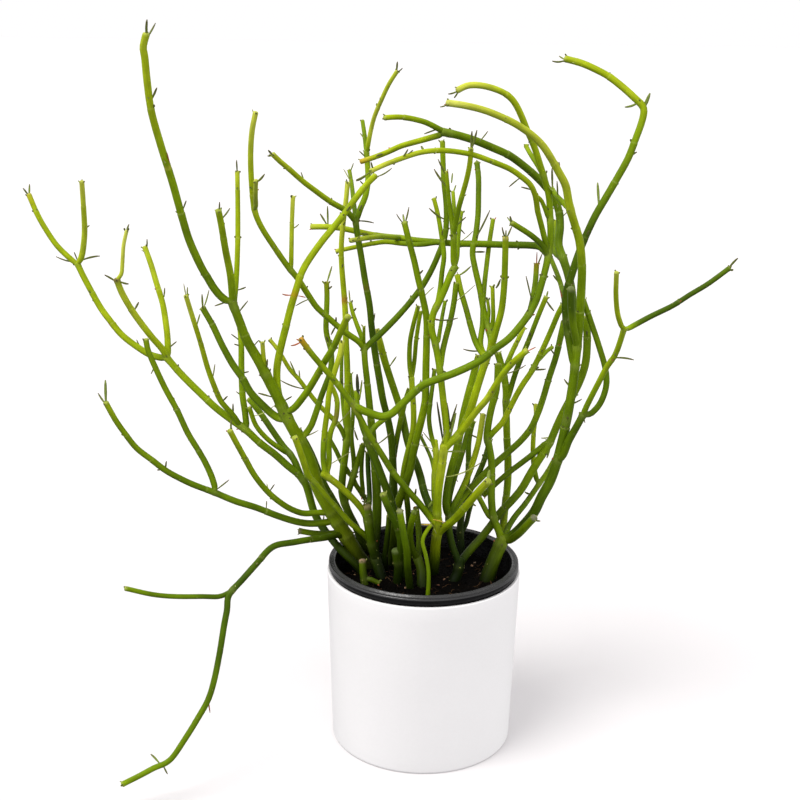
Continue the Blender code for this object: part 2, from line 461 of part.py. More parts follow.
# Leftover leaves and small twigs on each stem: foot and tip in the drawing, across and down
LEAVES = {
    "left_trunk": [
        (146, 36, 147, 19.5), (145, 40, 155.5, 23), (152, 99, 157, 87.5), (221.5, 219, 230, 208),
        (237.3, 173, 236.6, 160), (237.5, 314, 248, 300.7), (226.6, 301.9, 214.6, 306),
        (203, 309, 202, 294), (309.5, 299, 295.5, 306), (375, 177, 392, 168), (326.6, 284, 332, 266),
        (106, 404, 105.4, 380), (216, 490, 229.2, 479.7), (160, 764, 150.6, 754), (208, 700, 210, 713),
        (231, 431, 231, 420), (298, 438, 318.4, 430.3), (272, 397, 258, 393),
    ],
    "far_left": [
        (29, 196, 29.6, 184), (77.5, 262, 56, 256.6), (80, 261, 100, 256), (118, 283, 104.4, 274.8),
        (186.5, 297, 183.7, 283.5), (250, 416, 275, 405), (233, 419, 233, 403.5),
    ],
    "fork_stem": [
        (256, 182, 264.7, 172), (350.5, 304, 349, 290), (332, 429, 350.3, 410.2), (329, 465, 351, 451.5),
    ],
    "pale_stem": [(298, 379, 290, 361), (306, 389, 280, 380)],
    "tall_stem": [(396.5, 72, 397.4, 61.5), (356, 221, 374, 223), (366, 158, 359, 150)],
    "lean_stem": [(380, 422, 391, 433)],
    "centre_trunk": [
        (459, 90, 448, 96), (371.5, 171, 356, 180), (520, 178, 507, 187), (302, 341, 288, 345.7),
        (448, 188, 434, 169), (444, 219, 429, 208), (471, 150, 472, 131), (475, 240, 490, 210),
        (473, 252, 485, 252), (505.6, 239, 502, 226), (536.5, 266, 542, 253), (455, 302, 475, 285),
        (438, 320, 458, 318), (504, 374, 526, 365), (436, 450, 420, 445), (444, 452, 466, 452),
        (441, 474, 484, 460), (444, 447, 437, 402), (444.5, 448, 447, 403), (488, 482, 488, 468),
        (328, 227, 327.5, 206),
    ],
    "vee_stem": [(552, 436, 547, 458)],
    "right_trunk": [
        (552.5, 190, 552, 168), (555, 222, 568, 211), (566, 60, 551, 61), (643, 109, 650, 92),
        (639, 102, 624, 108), (599, 207, 597.6, 182.5), (614, 358, 634, 360), (728, 269, 739, 257),
        (568, 405, 582, 398), (529, 369, 546, 369), (438, 129, 423, 135),
    ],
    "plain_stem": [(404.5, 224, 396, 213), (423, 298, 435, 287)],
    "front_shoot": [(431, 526, 446, 520)],
}
LEAF_ROOT_RADIUS = 0.85
LEAF_TIP_RADIUS = 0.45
LEAF_LEANS = (-5.0, 3.0, 6.0, -2.0)

# Colours of the materials, linear
POT_WHITE = (0.80, 0.80, 0.79)
POT_BLACK = (0.018, 0.018, 0.019)
SOIL_BROWN = (0.020, 0.013, 0.009)
FRESH_GREEN = (0.27, 0.34, 0.03)
DEEP_GREEN = (0.11, 0.17, 0.02)
DARK_STEMS = ("left_trunk", "pale_stem", "thin_stem", "slim_stem", "back_stem")


def eye_frame():
    """Returns the eye's place and its forward, right and up directions."""
    forward = np.array([0.0, math.cos(EYE_PITCH), -math.sin(EYE_PITCH)])
    level = np.array([1.0, 0.0, 0.0])
    rise = np.array([0.0, math.sin(EYE_PITCH), math.cos(EYE_PITCH)])
    right = level * math.cos(EYE_ROLL) + rise * math.sin(EYE_ROLL)
    up = rise * math.cos(EYE_ROLL) - level * math.sin(EYE_ROLL)
    return EYE_TARGET - forward * EYE_DISTANCE, forward, right, up


EYE, FORWARD, RIGHT, UP = eye_frame()


def placed(drawn, depths):
    """Points in mm on the lines of sight of drawn points, at the given distances behind the pot's axis."""
    across = (drawn[:, :1] - DRAWING_CENTRE) / EYE_FOCAL
    rise = (DRAWING_CENTRE - drawn[:, 1:2]) / EYE_FOCAL
    sight = FORWARD + RIGHT * across + UP * rise
    reach = (depths - EYE[1]) / sight[:, 1]
    return EYE + sight * reach[:, None]


def drawn_at(point):
    """Where a point in mm is seen in the drawing."""
    offset = np.array(point, float) - EYE
    distance = offset @ FORWARD
    across = DRAWING_CENTRE + EYE_FOCAL * (offset @ RIGHT) / distance
    down = DRAWING_CENTRE - EYE_FOCAL * (offset @ UP) / distance
    return across, down


def smooth_route(knots):
    """A smooth curve through the knots in closely spaced points, and the place of each knot in it."""
    padded = np.vstack([2 * knots[0] - knots[1], knots, 2 * knots[-1] - knots[-2]])
    points = [knots[0]]
    places = [0]
    for k in range(len(knots) - 1):
        before, start, end, after = padded[k:k + 4]
        count = max(1, int(round(np.linalg.norm(end - start) / DRAWING_STEP)))
        for n in range(1, count + 1):
            t = n / count
            points.append(0.5 * (2 * start + (end - before) * t
                                 + (2 * before - 5 * start + 4 * end - after) * t ** 2
                                 + (3 * start - before - 3 * end + after) * t ** 3))
        places.append(len(points) - 1)
    return np.array(points), places


def grow_stem(stem):
    """Returns the stem's branches, each with its points, radii and parent, all in mm."""
    branches = {}
    for name, (parent, foot_radius, tip_radius, route) in STEMS[stem].items():
        knots = np.array([knot[:2] for knot in route], float)
        if parent is None:
            knots[0] = drawn_at((FEET[stem][0], FEET[stem][1], SOIL_TOP))
        drawn, places = smooth_route(knots)
        if parent is None:
            foot = None
            foot_depth = float(FEET[stem][1])
        else:
            trunk = branches[parent]
            foot = int(np.argmin(np.linalg.norm(trunk["drawn"] - drawn[0], axis=1)))
            drawn[0] = trunk["drawn"][foot]
            foot_depth = trunk["depth"][foot]
        arc = np.concatenate([[0.0], np.cumsum(np.linalg.norm(np.diff(drawn, axis=0), axis=1))])
        known_arcs = [0.0] + [arc[place] for place, knot in zip(places, route) if len(knot) == 3]
        known_depths = [foot_depth] + [knot[2] for knot in route if len(knot) == 3]
        depth = np.interp(arc, known_arcs, known_depths)
        for _ in range(DEPTH_SMOOTHING):
            depth[1:-1] += 0.5 * (0.5 * (depth[:-2] + depth[2:]) - depth[1:-1])
        branches[name] = {
            "parent": parent,
            "foot": foot,
            "drawn": drawn,
            "depth": depth,
            "points": placed(drawn, depth),
            "radii": foot_radius + (tip_radius - foot_radius) * arc / arc[-1],
        }
    return branches


def thinned(points, first, last):
    """Places of the points that keep the route within STRAIGHT_WITHIN of its full form."""
    if last - first < 2:
        return [first, last]
    chord = points[last] - points[first]
    chord = chord / max(np.linalg.norm(chord), 1e-6)
    offsets = points[first + 1:last] - points[first]
    sides = offsets - np.outer(offsets @ chord, chord)
    gaps = np.linalg.norm(sides, axis=1)
    worst = int(np.argmax(gaps))
    if gaps[worst] < STRAIGHT_WITHIN:
        return [first, last]
    middle = first + 1 + worst
    return thinned(points, first, middle)[:-1] + thinned(points, middle, last)


def branch_tube(branch, trunk):
    """Points and radii of a branch's tube, from inside its trunk or down in the soil to its rounded tip."""
    keep = thinned(branch["points"], 0, len(branch["points"]) - 1)
    points = [branch["points"][k] for k in keep]
    radii = [branch["radii"][k] for k in keep]
    if trunk is None:
        foot = points[0].copy()
        radius = radii[0]
        foot[2] = SOIL_TOP + 1.0 + 0.6 * radius
        sunk = foot.copy()
        sunk[2] = SOIL_TOP - BURIED
        rest = [(p, r) for p, r in zip(points[1:], radii[1:]) if p[2] > foot[2] + 1.0]
        points = [sunk, foot] + [p for p, _ in rest]
        radii = [radius, radius] + [r for _, r in rest]
    else:
        root_radius = min(radii[0], ROOT_SHARE * trunk["radii"][branch["foot"]])
        grown_at = branch["points"][0] + ROOT_GROWTH * direction(branch["points"][0], points[1])
        full = radii[0]
        radii[0] = root_radius
        if np.linalg.norm(points[1] - points[0]) > 1.6 * ROOT_GROWTH:
            points.insert(1, grown_at)
            radii.insert(1, full)
        at_tip = branch["foot"] == len(trunk["points"]) - 1
        if at_tip:
            back = direction(trunk["points"][-1], trunk["points"][-2])
            points.insert(0, trunk["points"][-1] + 1.2 * root_radius * back)
            radii.insert(0, 0.9 * root_radius)
    onward = direction(points[-2], points[-1])
    points.append(points[-1] + TIP_REACH * radii[-1] * onward)
    radii.append(TIP_SHARE * radii[-1])
    return points, radii


def direction(start, end):
    return (end - start) / np.linalg.norm(end - start)


def new_collection(name):
    collection = bpy.data.collections.new(name)
    bpy.context.scene.collection.children.link(collection)
    return collection


def add_material(node, colour, roughness):
    material = bpy.data.materials.new(node.name + "_material")
    material.use_nodes = True
    shader = material.node_tree.nodes["Principled BSDF"]
    shader.inputs["Base Color"].default_value = (*colour, 1.0)
    shader.inputs["Roughness"].default_value = roughness
    shader.inputs["Metallic"].default_value = 0.0
    node.data.materials.clear()
    node.data.materials.append(material)


def solid_from(source, name, collection):
    """Replaces an object by a new mesh object made from it as it is evaluated."""
    depsgraph = bpy.context.evaluated_depsgraph_get()
    mesh = bpy.data.meshes.new_from_object(source.evaluated_get(depsgraph), depsgraph=depsgraph)
    form = bmesh.new()
    form.from_mesh(mesh)
    bmesh.ops.remove_doubles(form, verts=form.verts, dist=0.000002)
    bmesh.ops.recalc_face_normals(form, faces=form.faces)
    form.to_mesh(mesh)
    form.free()
    solid = bpy.data.objects.new(name, mesh)
    solid.matrix_world = source.matrix_world
    collection.objects.link(solid)
    bpy.data.objects.remove(source)
    return solid


def tube(name, points, radii, collection):
    """A round tube with closed ends through the points."""
    curve = bpy.data.curves.new(name + "_route", "CURVE")
    curve.dimensions = "3D"
    curve.bevel_depth = MM
    curve.bevel_resolution = TUBE_SIDES_LEVEL
    curve.use_fill_caps = True
    spline = curve.splines.new("POLY")
    spline.points.add(len(points) - 1)
    for place, point, radius in zip(spline.points, points, radii):
        place.co = (point[0] * MM, point[1] * MM, point[2] * MM, 1.0)
        place.radius = radius
    route = bpy.data.objects.new(name + "_route", curve)
    collection.objects.link(route)
    bpy.context.view_layer.update()
    return solid_from(route, name, collection)


def leaf(name, foot, tip, collection):
    """A slim three-sided leaf from its foot inside the stem to its tip."""
    form = bmesh.new()
    length = np.linalg.norm(tip - foot)
    bmesh.ops.create_cone(form, cap_ends=True, segments=3, radius1=LEAF_ROOT_RADIUS * MM,
                          radius2=LEAF_TIP_RADIUS * MM, depth=length * MM)
    mesh = bpy.data.meshes.new(name)
    form.to_mesh(mesh)
    form.free()
    blade = bpy.data.objects.new(name, mesh)
    middle = (foot + tip) / 2
    blade.location = [value * MM for value in middle]
    blade.rotation_mode = "QUATERNION"
    blade.rotation_quaternion = Vector(tip - foot).to_track_quat("Z", "Y")
    collection.objects.link(blade)
    return blade


def fuse(first, others, name, collection):
    """One solid from the first object and a collection of others, which are then removed."""
    union = first.modifiers.new("union", "BOOLEAN")
    union.operation = "UNION"
    union.operand_type = "COLLECTION"
    union.collection = others
    union.solver = "EXACT"
    bpy.context.view_layer.update()
    fused = solid_from(first, name, collection)
    for item in list(others.objects):
        bpy.data.objects.remove(item)
    bpy.data.collections.remove(others)
    return fused


def build_stem(stem, collection):
    """One rooted stem with its branches and leaves in one solid."""
    branches = grow_stem(stem)
    pieces = new_collection(stem + "_pieces")
    first = None
    for name, branch in branches.items():
        trunk = branches[branch["parent"]] if branch["parent"] else None
        points, radii = branch_tube(branch, trunk)
        piece = tube(stem + "_" + name, points, radii, pieces)
        if first is None:
            first = piece
    drawn = np.vstack([branch["drawn"] for branch in branches.values()])
    depths = np.concatenate([branch["depth"] for branch in branches.values()])
    for number, (foot_x, foot_y, tip_x, tip_y) in enumerate(LEAVES.get(stem, [])):
        nearest = int(np.argmin(np.hypot(drawn[:, 0] - foot_x, drawn[:, 1] - foot_y)))
        lean = LEAF_LEANS[number % len(LEAF_LEANS)]
        ends = np.array([drawn[nearest], (tip_x, tip_y)])
        foot, tip = placed(ends, np.array([depths[nearest], depths[nearest] + lean]))
        leaf(stem + "_leaf_" + str(number), foot, tip, pieces)
    pieces.objects.unlink(first)
    collection.objects.link(first)
    node = fuse(first, pieces, stem, collection)
    node.data.shade_smooth()
    node.data.set_sharp_from_angle(angle=math.radians(60))
    add_material(node, DEEP_GREEN if stem in DARK_STEMS else FRESH_GREEN, 0.55)
    return node


def turned(name, profile, collection):
    """A solid of revolution about the pot's axis from a profile in mm, which runs down its outer side."""
    mesh = bpy.data.meshes.new(name)
    corners = [(x * MM, 0.0, z * MM) for x, z in profile]
    edges = [(k, k + 1) for k in range(len(corners) - 1)]
    mesh.from_pydata(corners, edges, [])
    node = bpy.data.objects.new(name, mesh)
    collection.objects.link(node)
    screw = node.modifiers.new("turn", "SCREW")
    screw.steps = TURNED_STEPS
    screw.render_steps = TURNED_STEPS
    screw.use_merge_vertices = True
    screw.merge_threshold = 0.00001
    return node


def cut_by(node, cutters):
    cut = node.modifiers.new("holes", "BOOLEAN")
    cut.operation = "DIFFERENCE"
    cut.operand_type = "COLLECTION"
    cut.collection = cutters
    cut.solver = "EXACT"


def cylinder_cutter(name, x, y, bottom, top, radius, sides, cutters):
    """An upright cylinder in mm that is only used to cut."""
    form = bmesh.new()
    bmesh.ops.create_cone(form, cap_ends=True, segments=sides, radius1=radius * MM, radius2=radius * MM,
                          depth=(top - bottom) * MM)
    mesh = bpy.data.meshes.new(name)
    form.to_mesh(mesh)
    form.free()
    cutter = bpy.data.objects.new(name, mesh)
    cutter.location = (x * MM, y * MM, (bottom + top) / 2 * MM)
    cutter.hide_render = True
    cutter.display_type = "WIRE"
    cutters.objects.link(cutter)


def grower_inner_radius(height):
    """Inner radius of the grower pot's wall at a height above the table."""
    foot = COVER_FLOOR + FIT_GAP
    neck = GROWER_RIM_TOP - GROWER_RIM_DEPTH
    share = (height - foot) / (neck - foot)
    outer = GROWER_BASE_RADIUS + (GROWER_NECK_RADIUS - GROWER_BASE_RADIUS) * share
    return outer - GROWER_WALL


def build_cover_pot(collection):
    top = COVER_HEIGHT
    lip = COVER_LIP_ROUNDING
    inner_top = COVER_TOP_RADIUS - COVER_WALL
    inner_foot = COVER_FOOT_RADIUS - COVER_WALL
    profile = [
        (0.0, COVER_FLOOR),
        (inner_foot - 2.0, COVER_FLOOR),
        (inner_foot, COVER_FLOOR + 2.0),
        (inner_top, top - lip),
        (inner_top + lip, top),
        (COVER_TOP_RADIUS - lip, top),
        (COVER_TOP_RADIUS, top - lip),
        (COVER_FOOT_RADIUS, COVER_FOOT_BEVEL),
        (COVER_FOOT_RADIUS - 0.35 * COVER_FOOT_BEVEL, 0.3 * COVER_FOOT_BEVEL),
        (COVER_FOOT_RADIUS - COVER_FOOT_BEVEL, 0.0),
        (0.0, 0.0),
    ]
    node = turned("cover_pot", profile, collection)
    finish_turned(node, POT_WHITE, 0.42)


def build_grower_pot(collection, cutters):
    foot = COVER_FLOOR + FIT_GAP
    top = GROWER_RIM_TOP
    band = GROWER_RIM_RADIUS
    under = top - GROWER_RIM_DEPTH
    profile = [
        (0.0, foot + GROWER_WALL),
        (grower_inner_radius(foot + GROWER_WALL), foot + GROWER_WALL),
        (grower_inner_radius(under - 2.0), under - 2.0),
        (GROWER_MOUTH_RADIUS, under + 1.0),
        (GROWER_MOUTH_RADIUS + 0.4, top - 1.6),
        (GROWER_MOUTH_RADIUS + 1.8, top),
        (band - 1.8, top),
        (band - 0.3, top - 1.4),
        (band - 0.8, top - 2.6),
        (band, top - 3.6),
        (band - 0.2, under + 1.2),
        (band - 1.2, under),
        (GROWER_NECK_RADIUS + 1.0, under),
        (GROWER_NECK_RADIUS, under - 1.0),
        (GROWER_BASE_RADIUS, foot + 1.0),
        (GROWER_BASE_RADIUS - 1.0, foot),
        (0.0, foot),
    ]
    node = turned("grower_pot", profile, collection)
    for number in range(DRAIN_HOLES):
        angle = 2 * math.pi * number / DRAIN_HOLES
        cylinder_cutter("drain_hole_" + str(number), DRAIN_CIRCLE_RADIUS * math.cos(angle),
                        DRAIN_CIRCLE_RADIUS * math.sin(angle), foot - 2.0, foot + GROWER_WALL + 2.0,
                        DRAIN_HOLE_RADIUS, HOLE_SIDES, cutters)
    cut_by(node, cutters)
    finish_turned(node, POT_BLACK, 0.48)


def build_soil(collection, cutters):
    bottom = COVER_FLOOR + 2 * FIT_GAP + GROWER_WALL
    rim = SOIL_TOP - SOIL_DOME
    profile = [
        (0.0, SOIL_TOP + 0.4),
        (48.0, SOIL_TOP),
        (grower_inner_radius(rim) - FIT_GAP - 2.5, rim + 0.2),
        (grower_inner_radius(rim - 1.2) - FIT_GAP, rim - 1.2),
        (grower_inner_radius(bottom) - FIT_GAP, bottom),
        (0.0, bottom),
    ]
    node = turned("soil", profile, collection)
    for stem, (x, y) in FEET.items():
        radius = STEMS[stem][first_branch(stem)][1]
        cylinder_cutter("hole_for_" + stem, x, y, SOIL_TOP - BURIED - 1.0, SOIL_TOP + 6.0,
                        radius + HOLE_CLEARANCE, HOLE_SIDES, cutters)
    cut_by(node, cutters)
    finish_turned(node, SOIL_BROWN, 0.95)


def first_branch(stem):
    return next(iter(STEMS[stem]))


def finish_turned(node, colour, roughness):
    node.data.shade_smooth()
    add_material(node, colour, roughness)


def main():
    for item in list(bpy.data.objects):
        bpy.data.objects.remove(item)
    parts = new_collection("potted_pencil_cactus")
    drain_cutters = new_collection("drain_cutters")
    soil_cutters = new_collection("soil_cutters")
    build_cover_pot(parts)
    build_grower_pot(parts, drain_cutters)
    build_soil(parts, soil_cutters)
    for stem in STEMS:
        build_stem(stem, parts)


main()
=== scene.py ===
"""Looks of the potted pencil cactus: fine stems, leaves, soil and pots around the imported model."""
import json
import math
import random
from collections import namedtuple

import bmesh
import bpy
import numpy as np
from mathutils import Matrix, Vector, noise

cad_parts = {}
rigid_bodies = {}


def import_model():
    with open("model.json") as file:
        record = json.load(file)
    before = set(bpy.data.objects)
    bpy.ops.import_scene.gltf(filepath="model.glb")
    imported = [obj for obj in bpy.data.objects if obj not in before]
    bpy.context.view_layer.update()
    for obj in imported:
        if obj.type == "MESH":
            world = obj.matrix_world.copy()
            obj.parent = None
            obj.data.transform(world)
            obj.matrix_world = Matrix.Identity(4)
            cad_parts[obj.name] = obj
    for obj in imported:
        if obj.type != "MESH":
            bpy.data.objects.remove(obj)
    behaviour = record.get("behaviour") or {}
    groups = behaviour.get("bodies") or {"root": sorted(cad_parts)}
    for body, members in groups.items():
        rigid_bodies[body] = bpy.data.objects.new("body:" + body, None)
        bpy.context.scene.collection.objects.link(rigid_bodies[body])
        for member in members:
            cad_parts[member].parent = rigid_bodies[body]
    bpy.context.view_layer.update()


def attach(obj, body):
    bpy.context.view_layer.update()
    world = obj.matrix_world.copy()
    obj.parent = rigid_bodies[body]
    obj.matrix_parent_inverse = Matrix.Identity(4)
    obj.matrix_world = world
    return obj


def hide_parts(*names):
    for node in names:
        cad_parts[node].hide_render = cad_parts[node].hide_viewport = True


MM = 0.001

# Cover pot, in mm
COVER_HEIGHT = 188.4
COVER_TOP_RADIUS = 101.4
COVER_FOOT_RADIUS = 95.8
COVER_WALL = 4.0
COVER_FLOOR = 5.0
COVER_FOOT_BEVEL = 2.8
COVER_LIP_RADIUS = 1.2
COVER_INNER_CORNER = 3.0
COVER_INNER_SHARES = (0.25, 0.5, 0.75)
COVER_OUTER_SHARES = (0.92, 0.8, 0.65, 0.5, 0.35, 0.2, 0.08)
FIT_GAP = 0.3
POT_STEPS = 144
POT_SMOOTH_ANGLE = 38

# Grower pot, in mm
GROWER_RIM_TOP = 198.9
GROWER_RIM_RADIUS = 100.0
GROWER_RIM_DEPTH = 10.0
GROWER_MOUTH_RADIUS = 92.2
GROWER_NECK_RADIUS = 93.4
GROWER_BASE_RADIUS = 78.0
GROWER_WALL = 1.6
GROWER_INNER_SHARES = (0.02, 0.3, 0.6, 0.85)
GROWER_OUTER_SHARES = (0.85, 0.6, 0.3, 0.05)
RIM_RIDGES = 3
# Each ridge of the rim: share of its width, and drop below the highest ridge
RIDGE_STEPS = ((0.12, 0.05), (0.45, 0.0), (0.75, 0.42), (0.95, 0.45))
# The rim's outer edge: out from the rim's radius and up from its top
RIM_EDGE = ((-0.75, -1.5), (-0.75, -2.1), (-0.2, -2.6), (0.0, -3.6), (0.0, -5.0), (-0.1, -6.6), (-0.5, -7.4),
            (-1.9, -7.7))
# Below this depth under the rim's top the outer side takes a low-gloss copy of the plastic, as painted shade
RIM_GLOSS_DEPTH = 3.4
RIM_GLOSS = 0.80
SHADED_WALL_GLOSS = 0.10
DRAIN_HOLES = 6
DRAIN_HOLE_RADIUS = 5.0
DRAIN_HOLE_SIDES = 20
DRAIN_CIRCLE_RADIUS = 58.0
DRAIN_CUT_DEPTH = 8.0

# Soil, in mm
SOIL_TOP = 176.0
SOIL_RINGS = 84
SOIL_STEPS = 220
SOIL_EDGE_RADIUS = 70.0
SOIL_EDGE_WIDTH = 20.0
SOIL_EDGE_DROP = 1.2
SOIL_DROP = 0.4
# Each layer of the soil's relief: turns of noise in a mm, its row in the noise, and its height
SOIL_RELIEF = ((0.035, 2.0, 1.2), (0.12, 7.0, 1.1), (0.42, 11.0, 0.7))
MOUND_HEIGHT = 3.4
MOUND_WIDTH = 5.5

# The record's slot of each piece, where it is not a fresh green stem
SLOTS = {
    "cover_pot": "white_ceramic",
    "grower_pot": "black_plastic",
    "left_trunk": "deep_green_stem",
    "pale_stem": "deep_green_stem",
    "thin_stem": "deep_green_stem",
    "slim_stem": "deep_green_stem",
    "back_stem": "deep_green_stem",
}
FRESH_SLOT = "fresh_green_stem"

# Where each rooted stem enters the soil, in mm to the right of and behind the pot's axis
FEET = {
    "left_trunk": (-56, 22),
    "far_left": (-64, 4),
    "fork_stem": (-43, -6),
    "pale_stem": (-42, 48),
    "tall_stem": (-14, 44),
    "lean_stem": (-20, -2),
    "centre_trunk": (10, 8),
    "vee_stem": (31, -10),
    "right_trunk": (66, -8),
    "plain_stem": (-33, 30),
    "thin_stem": (-33, 56),
    "stub_fork": (-2, -28),
    "tan_stub": (-14, -32),
    "round_stub": (-27, -18),
    "front_stub": (-60, -26),
    "slim_stem": (-40, 14),
    "front_shoot": (3, -60),
    "back_stem": (42, 52),
}
BURIED = 30.0

# The eye that the stems were drawn from: focal length and centre in drawing units, the rest in mm and degrees
EYE_FOCAL = 1300.0
DRAWING_CENTRE = 400.0
DRAWING_SIZE = 800.0
EYE_PITCH = math.radians(16.03)
EYE_ROLL = math.radians(0.71)
EYE_DISTANCE = 1323.13
EYE_TARGET = np.array([-26.94, 0.0, 371.89])
SENSOR_MM = 36.0
CLIP_START = 0.05
CLIP_END = 200.0

# Tube shapes: lengths in mm, other values as shares of the radius
DRAWING_STEP = 6.0
DEPTH_SMOOTHING = 25
STEM_SEED = 900
STEM_SIDES = 14
PHASES = (0, 50)
GRAIN_OFFSETS = (0, 900)
RING_GAP = 3.2
LEAST_RING_GAP = 0.3
JOINT_RINGS = (-4.0, -2.2, -1.1, -0.4, 0.2, 0.8, 1.8)
TIP_RINGS_BACK = (2.2, 1.0)
ROOT_SHARE = 0.8
ROOT_TOP = 2.0
ROOT_TOP_SHARE = 0.6
ROOT_GROWTH = 8.0
ROOT_BLEND = 16.0
TIP_REACH = 0.62
TIP_RINGS = 5
TIP_OPENING = 0.3
TIP_BLUNTNESS = 0.7
TIP_SWELLING = 0.03
TIP_SWELLING_BACK = 0.6
TIP_SWELLING_WIDTH = 1.8
WOBBLE = 0.03
WOBBLE_PER_MM = 0.035
WOBBLE_ROW = (3.1, 0.7)
COLLAR_DEPTH = 0.07
COLLAR_WIDTH = 1.0
COLLAR_PLACE = 1.02
END_FORK_SUNK = 1.2
END_FORK_WIDTH = 0.9
END_FORK_COLLAR = 2.4
SWELLING = 0.10
SWELLING_WIDTH = 3.6
JOINT_GAPS = (34.0, 84.0)
JOINT_CLEARANCE = 9.0
JOINT_RADIUS_LIMIT = 5.2
JOINT_LOWEST = SOIL_TOP + 42.0
JOINT_STRENGTH = (0.4, 1.1)
JOINT_SWELLING = 0.055
JOINT_SWELLING_WIDTH = 3.4
JOINT_NECK = 0.045
JOINT_NECK_LENGTH = 9.0
JOINT_LINE_BACK = 0.2
JOINT_LINE_WIDTH = 0.85

# Pale shares of the skin at a collar, a fork and a joint, and of the pale ring's colour in all
COLLAR_PALE = 0.30
SWELLING_PALE = 0.22
JOINT_PALE = 0.40
PALE_SHARE = 0.50

# Changes of freshness: past a joint, at the tip, along the wobble, and low down (older skin and painted
# shade)
JOINT_FRESHER = (-0.05, 0.07)
FRESHER_LIMITS = (-0.1, 0.12)
TIP_FRESHER = 0.08
TIP_FRESHER_LENGTH = 14.0
WOBBLE_FRESHER = 0.10
LOW_OLDER_AND_SHADED = 0.12
LOW_HEIGHT = 185.0
LOW_FADE = 150.0

# Colour shares and reaches in mm at a branch's tip
TIP_SKIN_SHARE = 0.40
TIP_SKIN_PAST = 0.6
TIP_SKIN_REACH = 1.1
RED_REACH = 16.0
CROWN_SHARE = 0.9
CROWN_PAST = 0.4
CROWN_REACH = 3.0

# Leaf scales at joints and tips, and scars along the stems, in mm
SCALES_AT_JOINT = (1, 1, 2, 3)
SCALES_AT_TIP = (2, 3, 3)
SCALE_LENGTHS = (1.0, 2.9)
SCALE_FOOT = 0.82
SCALE_LEAN = 0.45
SCALE_TURNS = (1.6, 3.0)
TIP_SCALE_TURN = 2.1
TIP_SCALE_BACK = 0.3
SCALE_KINDS = ("dry", "pale", "fresh", "red")
SCALE_KIND_SHARES = (50, 24, 20, 6)
SCAR_SIDES = 6
SCAR_LEVEL = 0.985
SCAR_LENGTH = 0.75
SCAR_WIDTHS = (0.32, 0.62)
SCAR_GAPS = (11, 26)
SCAR_START = (5, 15)
SCAR_STOP = 4.0
SCAR_TURNS = (-0.9, 0.9)
SCAR_COLOUR_SPREAD = (0.5, 1.5)
# Each ring of a scar: height over the skin and width, as shares of its half width
SCAR_RINGS = ((-0.5, 1.15), (0.12, 0.85), (0.26, 0.35))

